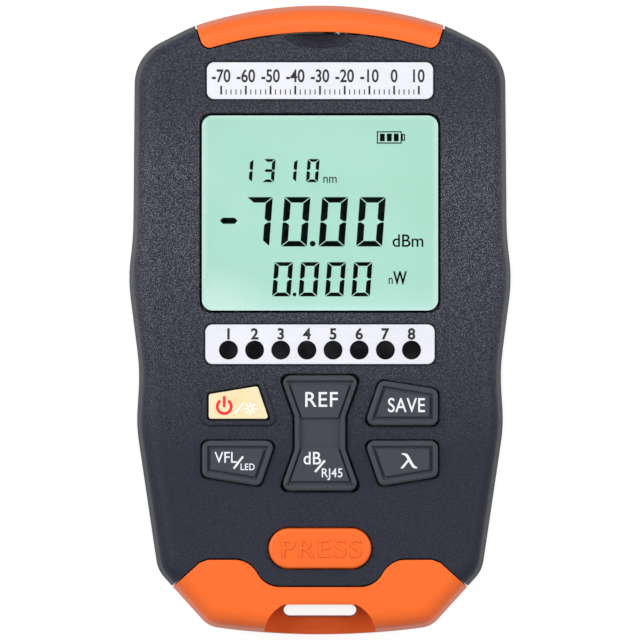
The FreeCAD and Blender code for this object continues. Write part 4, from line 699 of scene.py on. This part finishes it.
# Painted light falloff: the grain's painted glints fade towards the lower end and thin out by the upper
# plate.
painted_glint_falloff = band(tree, where["Y"], -26.0 * MM, 14.0 * MM, 0.12, 0.95)
by_plate = band(tree, where["Y"], 30.0 * MM, 42.0 * MM, 1.0, 0.5)
# Painted shade: the scoop's front face is painted darker and loses its glints.
across = sums(tree, "DIVIDE", where["X"], SCOOP_HALF_WIDTH)
down = sums(tree, "DIVIDE", sums(tree, "SUBTRACT", where["Y"], scoop_middle), SCOOP_REACH)
far = sums(tree, "ADD", sums(tree, "MULTIPLY", across, across), sums(tree, "MULTIPLY", down, down))
below = band(tree, where["Z"], 18.0 * MM, 20.0 * MM, 1.0, 0.0)
outside_scoop_shade = sums(tree, "MAXIMUM", band(tree, far, 0.55, 1.2), below)
specks = sums(tree, "MULTIPLY", sums(tree, "MULTIPLY", painted_glint_falloff, by_plate), outside_scoop_shade)
tree.links.new(specks, look.inputs["Flecks"])
tree.links.new(blended(tree, outside_scoop_shade, SCOOP_SHADE_COLOUR, CASE_COLOUR), look.inputs["Colour"])
clad(case_plastic, "front_shell", "rear_shell", "battery_door")


# ---------------------------------------------------------------------------------------
# Window and plates: a clear acrylic window over a sight with round corners, two silver
# aluminium plates printed with black figures, and eight smoked lenses in the lower one.
clad(clear_material("window", tinted(0.97, 0.99, 0.98), 0.02, 90.0, 0.0005 * MM), "display_window")
SIGHT_INSET = 0.352 * MM
SIGHT_CORNER = 2.1 * MM
SIGHT_SQUARE = 0.02 * MM
BORDER_LOW = 0.06 * MM
BORDER_HIGH = 0.02 * MM


def rounded_outline(low_x, low_y, high_x, high_y, corner, steps=10):
    """A rectangle with round corners, anticlockwise from its right side."""
    points = []
    for mid_x, mid_y, start in (
        (high_x - corner, high_y - corner, 0), (low_x + corner, high_y - corner, 90),
        (low_x + corner, low_y + corner, 180), (high_x - corner, low_y + corner, 270),
    ):
        for step in range(steps + 1):
            turn = math.radians(start + 90 * step / steps)
            points.append((mid_x + corner * math.cos(turn), mid_y + corner * math.sin(turn)))
    return points


def ring_piece(name, outer, inner, low, high, material, body):
    """A flat closed ring between two outlines with as many points each."""
    mesh = bpy.data.meshes.new(name)
    count = len(outer)
    points = [(x, y, level) for level in (low, high) for loop in (outer, inner) for x, y in loop]
    faces = []
    for index in range(count):
        after = (index + 1) % count
        for first, second in ((0, 1), (1, 3), (3, 2), (2, 0)):
            start, end = first * count, second * count
            faces.append((start + index, start + after, end + after, end + index))
    mesh.from_pydata(points, [], faces)
    shape = bmesh.new()
    shape.from_mesh(mesh)
    bmesh.ops.recalc_face_normals(shape, faces=shape.faces)
    shape.to_mesh(mesh)
    shape.free()
    return on_body(name, mesh, material, body)


sight = (
    display_low.x + SIGHT_INSET, display_low.y + SIGHT_INSET,
    display_high.x - SIGHT_INSET, display_high.y - SIGHT_INSET,
)
border = ring_piece(
    "window_border", rounded_outline(*sight, SIGHT_SQUARE), rounded_outline(*sight, SIGHT_CORNER),
    display_low.z - BORDER_LOW, display_low.z - BORDER_HIGH, case_plastic, "body",
)
silver_plate = metal("silver_plate", tinted(0.67, 0.67, 0.72), (250.0, 9000.0, 250.0), 0.5, 0.0)
clad(silver_plate, "upper_plate", "indicator_plate")


def smoked_material():
    """Smoked lens: nearly black and glossy, a shade lighter in patches."""
    material, tree, shader = new_material("dark_lens")
    haze = clouds(tree, 350.0)
    patch = band(tree, haze, 0.35, 0.65)
    colour = blended(tree, patch, tinted(0.004, 0.004, 0.005), tinted(0.01, 0.009, 0.011))
    tree.links.new(colour, shader.inputs["Base Color"])
    tree.links.new(band(tree, haze, 0.3, 0.7, 0.16, 0.24), shader.inputs["Roughness"])
    return material


clad(smoked_material(), "indicator_lenses")


def ink_material(name, colour, worn):
    """Pad-printed ink: solid, with a little loss where the print is thin."""
    material, tree, shader = new_material(name)
    thin = clouds(tree, 2600.0, 3.0)
    tree.links.new(blended(tree, band(tree, thin, 0.62, 0.75), colour, worn), shader.inputs["Base Color"])
    tree.links.new(band(tree, thin, 0.3, 0.7, 0.4, 0.55), shader.inputs["Roughness"])
    return material


black_ink = ink_material("ink_black", tinted(0.004, 0.004, 0.005), tinted(0.03, 0.03, 0.034))
INK = 0.01 * MM
PLATE_CORNER = 1.6 * MM
EDGE_RING_WIDTH = 0.2 * MM
# A thin black ring round the edge of each plate.
for name in ("upper_plate", "indicator_plate"):
    low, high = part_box(name)
    outer = rounded_outline(low.x, low.y, high.x, high.y, PLATE_CORNER)
    inner = rounded_outline(
        low.x + EDGE_RING_WIDTH, low.y + EDGE_RING_WIDTH, high.x - EDGE_RING_WIDTH, high.y - EDGE_RING_WIDTH, PLATE_CORNER - EDGE_RING_WIDTH
    )
    ring_piece(f"{name}_edge_ring", outer, inner, high.z - INK, high.z + INK, black_ink, "body")
lens_low, lens_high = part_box("indicator_lenses")
LENSES = 8
lens_radius = (lens_high.y - lens_low.y) / 2
lens_pitch = (lens_high.x - lens_low.x - 2 * lens_radius) / (LENSES - 1)
plate_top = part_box("indicator_plate")[1].z
for number in range(LENSES):
    place = (lens_low.x + lens_radius + number * lens_pitch, (lens_low.y + lens_high.y) / 2 + 3.15 * MM)
    lettering(f"indicator_number_{number + 1}", str(number + 1), 2.05 * MM, place, plate_top, INK,
              black_ink, "body", weight=0.03)


def bar_row_tree():
    """Equal bars in a row, each a low block."""
    tree, given, result = new_tree(
        "bar_row",
        {"Bars": "count", "First": "vector", "Step": "vector", "Bar Size": "vector",
         "Material": "material"},
    )
    row = add(tree, "GeometryNodeMeshLine", Count=given.outputs["Bars"],
              Start_Location=given.outputs["First"], Offset=given.outputs["Step"])
    block = add(tree, "GeometryNodeMeshCube", Size=given.outputs["Bar Size"])
    bars = add(tree, "GeometryNodeInstanceOnPoints", Points=row.outputs[0], Instance=block.outputs[0])
    return closed(tree, given, result, bars.outputs[0])


bar_row = bar_row_tree()
scale_low, scale_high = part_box("upper_plate")
scale_middle = (scale_low + scale_high) / 2
SCALE_STEPS = 8
SCALE_PITCH = 4.8 * MM
SCALE_FOOT = 2.7 * MM
scale_left = scale_middle.x - SCALE_PITCH * SCALE_STEPS / 2
for name, bars, pitch, tall, wide in (
    ("scale_long_marks", SCALE_STEPS + 1, SCALE_PITCH, 1.7 * MM, 0.36 * MM),
    ("scale_short_marks", SCALE_STEPS * 5 + 1, SCALE_PITCH / 5, 1.0 * MM, 0.2 * MM),
):
    values = {
        "Bars": bars,
        "First": (scale_left, scale_middle.y - SCALE_FOOT + tall / 2, scale_high.z),
        "Step": (pitch, 0.0, 0.0),
        "Bar Size": (wide, tall, 2 * INK),
        "Material": black_ink,
    }
    grown(name, bar_row, values, "body")
for step in range(SCALE_STEPS + 1):
    level = step * 10 - 70
    place = (scale_left + step * SCALE_PITCH, scale_middle.y + 0.95 * MM)
    lettering(f"scale_number_{step}", str(level), 2.4 * MM, place, scale_high.z, INK, black_ink, "body",
              weight=0.018, squeeze=0.8)


# ---------------------------------------------------------------------------------------
# Keypad: silicone-rubber caps moulded with a raised rim and printed in pale grey, and a
# black plastic power key whose cream insert lets light through and has a red power sign.
key_rubber, shader = moulded(
    "key_rubber", tinted(0.018, 0.022, 0.031), tinted(0.07, 0.08, 0.1), 0.2 * MM, 0.006 * MM, 0.6, 0.35,
    0.3 * MM,
)
shader.inputs["Sheen Weight"].default_value = 0.15
clad(key_rubber, "key_save", "key_torch", "key_wavelength", "rocker_key")
clad(black_plastic, "key_power")


def insert_material():
    """Cream silicone that lets light through, warmer towards its thin middle."""
    material, tree, shader = new_material("cream_insert")
    low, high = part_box("power_insert")
    far = add(
        tree, "ShaderNodeVectorMath", {"operation": "DISTANCE"}, _0=own_place(tree), _1=(low + high) / 2
    ).outputs["Value"]
    warm = band(tree, far, 6.5 * MM, 1.0 * MM)
    mottle = clouds(tree, 420.0)
    body_colour = blended(tree, warm, tinted(0.7, 0.62, 0.4), tinted(0.72, 0.58, 0.32))
    colour = blended(tree, band(tree, mottle, 0.3, 0.7, 0.0, 0.3), body_colour, tinted(0.76, 0.68, 0.48))
    tree.links.new(colour, shader.inputs["Base Color"])
    tree.links.new(band(tree, mottle, 0.3, 0.7, 0.36, 0.46), shader.inputs["Roughness"])
    shader.inputs["Subsurface Weight"].default_value = 0.15
    shader.inputs["Subsurface Radius"].default_value = (0.0012, 0.0009, 0.0005)
    return material


clad(insert_material(), "power_insert")
white_ink = ink_material("ink_white", tinted(0.66, 0.68, 0.7), tinted(0.5, 0.51, 0.53))
red_ink = ink_material("ink_red", tinted(0.9, 0.004, 0.008), tinted(0.8, 0.05, 0.04))
key_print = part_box("key_save")[1].z - INK


def stroke(points, width):
    """A straight bar of ink between two points, as a closed outline."""
    (ax, ay), (bx, by) = points
    length = math.hypot(bx - ax, by - ay)
    side_x, side_y = (by - ay) / length * width / 2, (ax - bx) / length * width / 2
    return [
        (ax + side_x, ay + side_y), (bx + side_x, by + side_y),
        (bx - side_x, by - side_y), (ax - side_x, ay - side_y),
    ]


for name, text, height, x, y, body, weight, squeeze, spacing in (
    ("legend_reference", "REF", 2.85, 0.3, -15.4, "rocker", 0.008, 0.98, 1.08),
    ("legend_level", "dB", 2.4, -1.5, -26.8, "rocker", 0.008, 0.92, 1.05),
    ("legend_line_test", "RJ45", 1.7, 2.35, -29.65, "rocker", 0.008, 0.9, 1.05),
    ("legend_save", "SAVE", 2.7, 16.8, -16.5, "save_key", 0.008, 0.82, 1.04),
    ("legend_laser", "VFL", 2.1, -18.3, -26.65, "torch_key", 0.006, 0.9, 1.02),
    ("legend_lamp", "LED", 1.25, -14.05, -28.5, "torch_key", 0.012, 0.88, 1.06),
):
    lettering(name, text, height * MM, (x * MM, y * MM), key_print, 2 * INK, white_ink, body,
              weight, squeeze, spacing)
for name, ends, width, body in (
    ("legend_level_slash", ((-0.95, -29.5), (0.95, -27.25)), 0.42, "rocker"),
    ("legend_laser_slash", ((-16.75, -28.85), (-14.95, -26.5)), 0.4, "torch_key"),
):
    ink = stroke([(x * MM, y * MM) for x, y in ends], width * MM)
    solid_piece(name, [ink], key_print, key_print + 2 * INK, white_ink, body)
lambda_sign = [
    (-1.3, 1.45), (-1.3, 1.2), (-0.95, 1.12), (-0.52, 0.8), (-0.2, 0.2), (-1.6, -1.5), (-1.02, -1.5),
    (0.02, -0.17), (0.68, -1.2), (1.1, -1.5), (1.65, -1.5), (1.65, -1.2), (1.32, -1.12), (1.02, -0.8),
    (0.02, 0.97), (-0.32, 1.34), (-0.74, 1.45),
]
outline = [((x + 17.2) * MM, (y - 27.3) * MM) for x, y in lambda_sign]
solid_piece("legend_wavelength", [outline], key_print, key_print + 2 * INK, white_ink, "wavelength_key")


def arc_band(middle_x, middle_y, radius, width, start, end, steps=28):
    """A ring of ink, or a part of one, as a closed outline."""
    turns = [math.radians(start + (end - start) * step / steps) for step in range(steps + 1)]
    outer, inner = (
        [(middle_x + reach * math.cos(turn), middle_y + reach * math.sin(turn)) for turn in turns]
        for reach in (radius + width / 2, radius - width / 2)
    )
    return outer + inner[::-1]


insert_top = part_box("power_insert")[1].z
power_x, power_y = -18.6 * MM, -16.8 * MM
power_sign = [
    arc_band(power_x, power_y, 1.36 * MM, 0.56 * MM, 123.0, 417.0),
    stroke([(power_x, power_y - 0.1 * MM), (power_x, power_y + 2.05 * MM)], 0.54 * MM),
]
solid_piece("power_sign", power_sign, insert_top - INK, insert_top + INK, red_ink, "power_key")
sun_x, sun_y = -13.5 * MM, -17.2 * MM
RAYS = 8
RAY_WIDTH = 0.24 * MM
RAY_REACH = (0.78 * MM, 1.25 * MM)
sun = [
    arc_band(sun_x, sun_y, 0.5 * MM, RAY_WIDTH, 0.0, 180.0, 12),
    arc_band(sun_x, sun_y, 0.5 * MM, RAY_WIDTH, 180.0, 360.0, 12),
    stroke([(-16.6 * MM, -18.2 * MM), (-14.9 * MM, -16.1 * MM)], 0.26 * MM),
]
for ray in range(RAYS):
    turn = 2 * math.pi * ray / RAYS
    ends = [(sun_x + reach * math.cos(turn), sun_y + reach * math.sin(turn)) for reach in RAY_REACH]
    sun.append(stroke(ends, RAY_WIDTH))
pale_ink = ink_material("ink_pale", tinted(0.93, 0.93, 0.9), tinted(0.9, 0.85, 0.72))
solid_piece("backlight_sign", sun, insert_top - INK, insert_top + INK, pale_ink, "power_key")


# ---------------------------------------------------------------------------------------
# Orange parts: release button, clip-out remote and port flap, moulded in one orange
# plastic with a fine satin face. The button's word stands up from its top, and the
# remote's socket has gilt wires like the meter's own.
orange_plastic, shader = moulded(
    "orange_plastic", tinted(0.78, 0.125, 0.016), tinted(0.9, 0.28, 0.1), 0.16 * MM, 0.006 * MM, 0.42, 0.3,
    0.25 * MM,
)
shader.inputs["Specular IOR Level"].default_value = 0.25
clad(orange_plastic, "release_button", "remote_front", "remote_rear", "top_flap")
button_low, button_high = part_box("release_button")
button_middle = (button_low + button_high) / 2
WORD_SUNK = 0.04 * MM
WORD_THICKNESS = 0.2 * MM
word_place = (button_middle.x + 0.3 * MM, button_middle.y)
word = lettering(
    "button_word", "PRESS", 3.5 * MM, word_place, button_high.z - WORD_SUNK, WORD_THICKNESS,
    orange_plastic, "button", weight=0.004, squeeze=1.12, spacing=1.14,
)
contacts("remote_jack_wires", "remote_jack", "remote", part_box("remote_jack")[0].y, 1.0)


# ---------------------------------------------------------------------------------------
# Latch spring: one folded strip of spring steel, held by its foot on the dock liner's
# pegs. Its mesh is cut across in steps between the foot and the button's stem, the stretch that bends when
# the button is pressed.
LEAF_FOOT = 3.6 * MM
STEM_RADIUS = 1.4 * MM
LEAF_STEPS = 14
ALONG = (0.0, 1.0, 0.0)
leaf_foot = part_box("latch_spring")[1].y - LEAF_FOOT
leaf_pressed = button_middle.y + STEM_RADIUS
strip = bmesh.new()
strip.from_mesh(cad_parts["latch_spring"].data)
bmesh.ops.remove_doubles(strip, verts=strip.verts, dist=0.001 * MM)
for step in range(LEAF_STEPS + 1):
    place = leaf_foot + (leaf_pressed - leaf_foot) * step / LEAF_STEPS
    everything = strip.verts[:] + strip.edges[:] + strip.faces[:]
    bmesh.ops.bisect_plane(strip, geom=everything, plane_co=(0.0, place, 0.0), plane_no=ALONG)
leaf_mesh = bpy.data.meshes.new("latch_leaf")
strip.to_mesh(leaf_mesh)
strip.free()
leaf_mesh.materials.append(steel)
leaf = bpy.data.objects.new("latch_leaf", leaf_mesh)
bpy.context.scene.collection.objects.link(leaf)
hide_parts("latch_spring")
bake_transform(leaf)


# ---------------------------------------------------------------------------------------
# Studio: a pale floor that glows, its glow cut close under the meter as a painted shadow, a sky
# that is bright between the horizon and the zenith, a long soft light at each side and one past the flap,
# and the camera straight above the display. The floor lights the meter less than it shows.
stage_middle = (cad_low + cad_high) / 2
FLOOR_SIZE = 6.0
FLOOR_DROP = 0.1 * MM
SHADE_REACH = 4.0 * MM
floor_mesh = bpy.data.meshes.new("floor")
edge = FLOOR_SIZE / 2
corners = [(-edge, -edge), (edge, -edge), (edge, edge), (-edge, edge)]
floor_mesh.from_pydata([(x, y, cad_low.z - FLOOR_DROP) for x, y in corners], [], [(0, 1, 2, 3)])
floor = bpy.data.objects.new("floor", floor_mesh)
bpy.context.scene.collection.objects.link(floor)
floor_material, tree, shader = new_material("floor_paper")
paper = clouds(tree, 6.0)
paper_colour = blended(tree, paper, tinted(0.13, 0.13, 0.13), tinted(0.16, 0.16, 0.16))
tree.links.new(paper_colour, shader.inputs["Base Color"])
shader.inputs["Roughness"].default_value = 0.9
shader.inputs["Emission Strength"].default_value = 0.9
# Painted shadow: the floor's glow is cut where the meter hides it, close under and round its foot.
open_floor = add(
    tree, "ShaderNodeAmbientOcclusion", {"samples": 6}, Distance=SHADE_REACH
).outputs["AO"]
lit = band(tree, open_floor, 0.28, 0.5)
seen = band(tree, add(tree, "ShaderNodeLightPath").outputs["Is Camera Ray"], 0.0, 1.0, 0.6, 1.0)
glow = blended(tree, sums(tree, "MULTIPLY", lit, seen), tinted(0.0, 0.0, 0.0), tinted(1.0, 1.0, 1.0))
tree.links.new(glow, shader.inputs["Emission Color"])
floor_mesh.materials.append(floor_material)

world = bpy.data.worlds.new("studio_sky")
bpy.context.scene.world = world
world.use_nodes = True
tree = world.node_tree
sky = tree.nodes["Background"]
direction = add(tree, "ShaderNodeTexCoord").outputs["Generated"]
rise = add(tree, "ShaderNodeSeparateXYZ", Vector=direction).outputs["Z"]
raised = band(tree, rise, 0.0, 0.4)
overhead = band(tree, rise, 0.55, 0.95)
dome = sums(tree, "MULTIPLY", raised, sums(tree, "SUBTRACT", 1.0, overhead))
sky_colour = blended(tree, dome, tinted(0.02, 0.02, 0.025), tinted(0.72, 0.73, 0.77))
tree.links.new(sky_colour, sky.inputs["Color"])
sky.inputs["Strength"].default_value = 1.0


def soft_light(name, place, aim, width, length, power):
    """A softbox: a flat light that points at a place on the meter."""
    lamp = bpy.data.lights.new(name, "AREA")
    lamp.shape = "RECTANGLE"
    lamp.size, lamp.size_y = width, length
    lamp.energy = power
    softbox = bpy.data.objects.new(name, lamp)
    bpy.context.scene.collection.objects.link(softbox)
    softbox.location = place
    softbox.rotation_euler = (Vector(aim) - Vector(place)).to_track_quat("-Z", "Y").to_euler()


soft_light("softbox_left", (-0.66, 0.15, 0.66), stage_middle, 0.2, 0.9, 6.4)
soft_light("softbox_right", (0.66, 0.1, 0.66), stage_middle, 0.2, 0.9, 4.4)
soft_light("softbox_head", (-0.05, 0.5, 0.82), stage_middle, 0.9, 0.22, 3.0)

CAMERA_HEIGHT = 2.4
VIEW_WIDTH = 124.8 * MM
SENSOR = 36.0
VIEW_LEVEL = 0.018
camera = bpy.data.objects.new("camera", bpy.data.cameras.new("camera"))
camera.data.sensor_width = SENSOR
camera.data.lens = SENSOR * (CAMERA_HEIGHT - VIEW_LEVEL) / VIEW_WIDTH
camera.data.clip_end = 20.0
camera.location = (stage_middle.x, stage_middle.y, CAMERA_HEIGHT)
bpy.context.scene.collection.objects.link(camera)
bpy.context.scene.camera = camera
bpy.context.scene.view_settings.view_transform = "Standard"
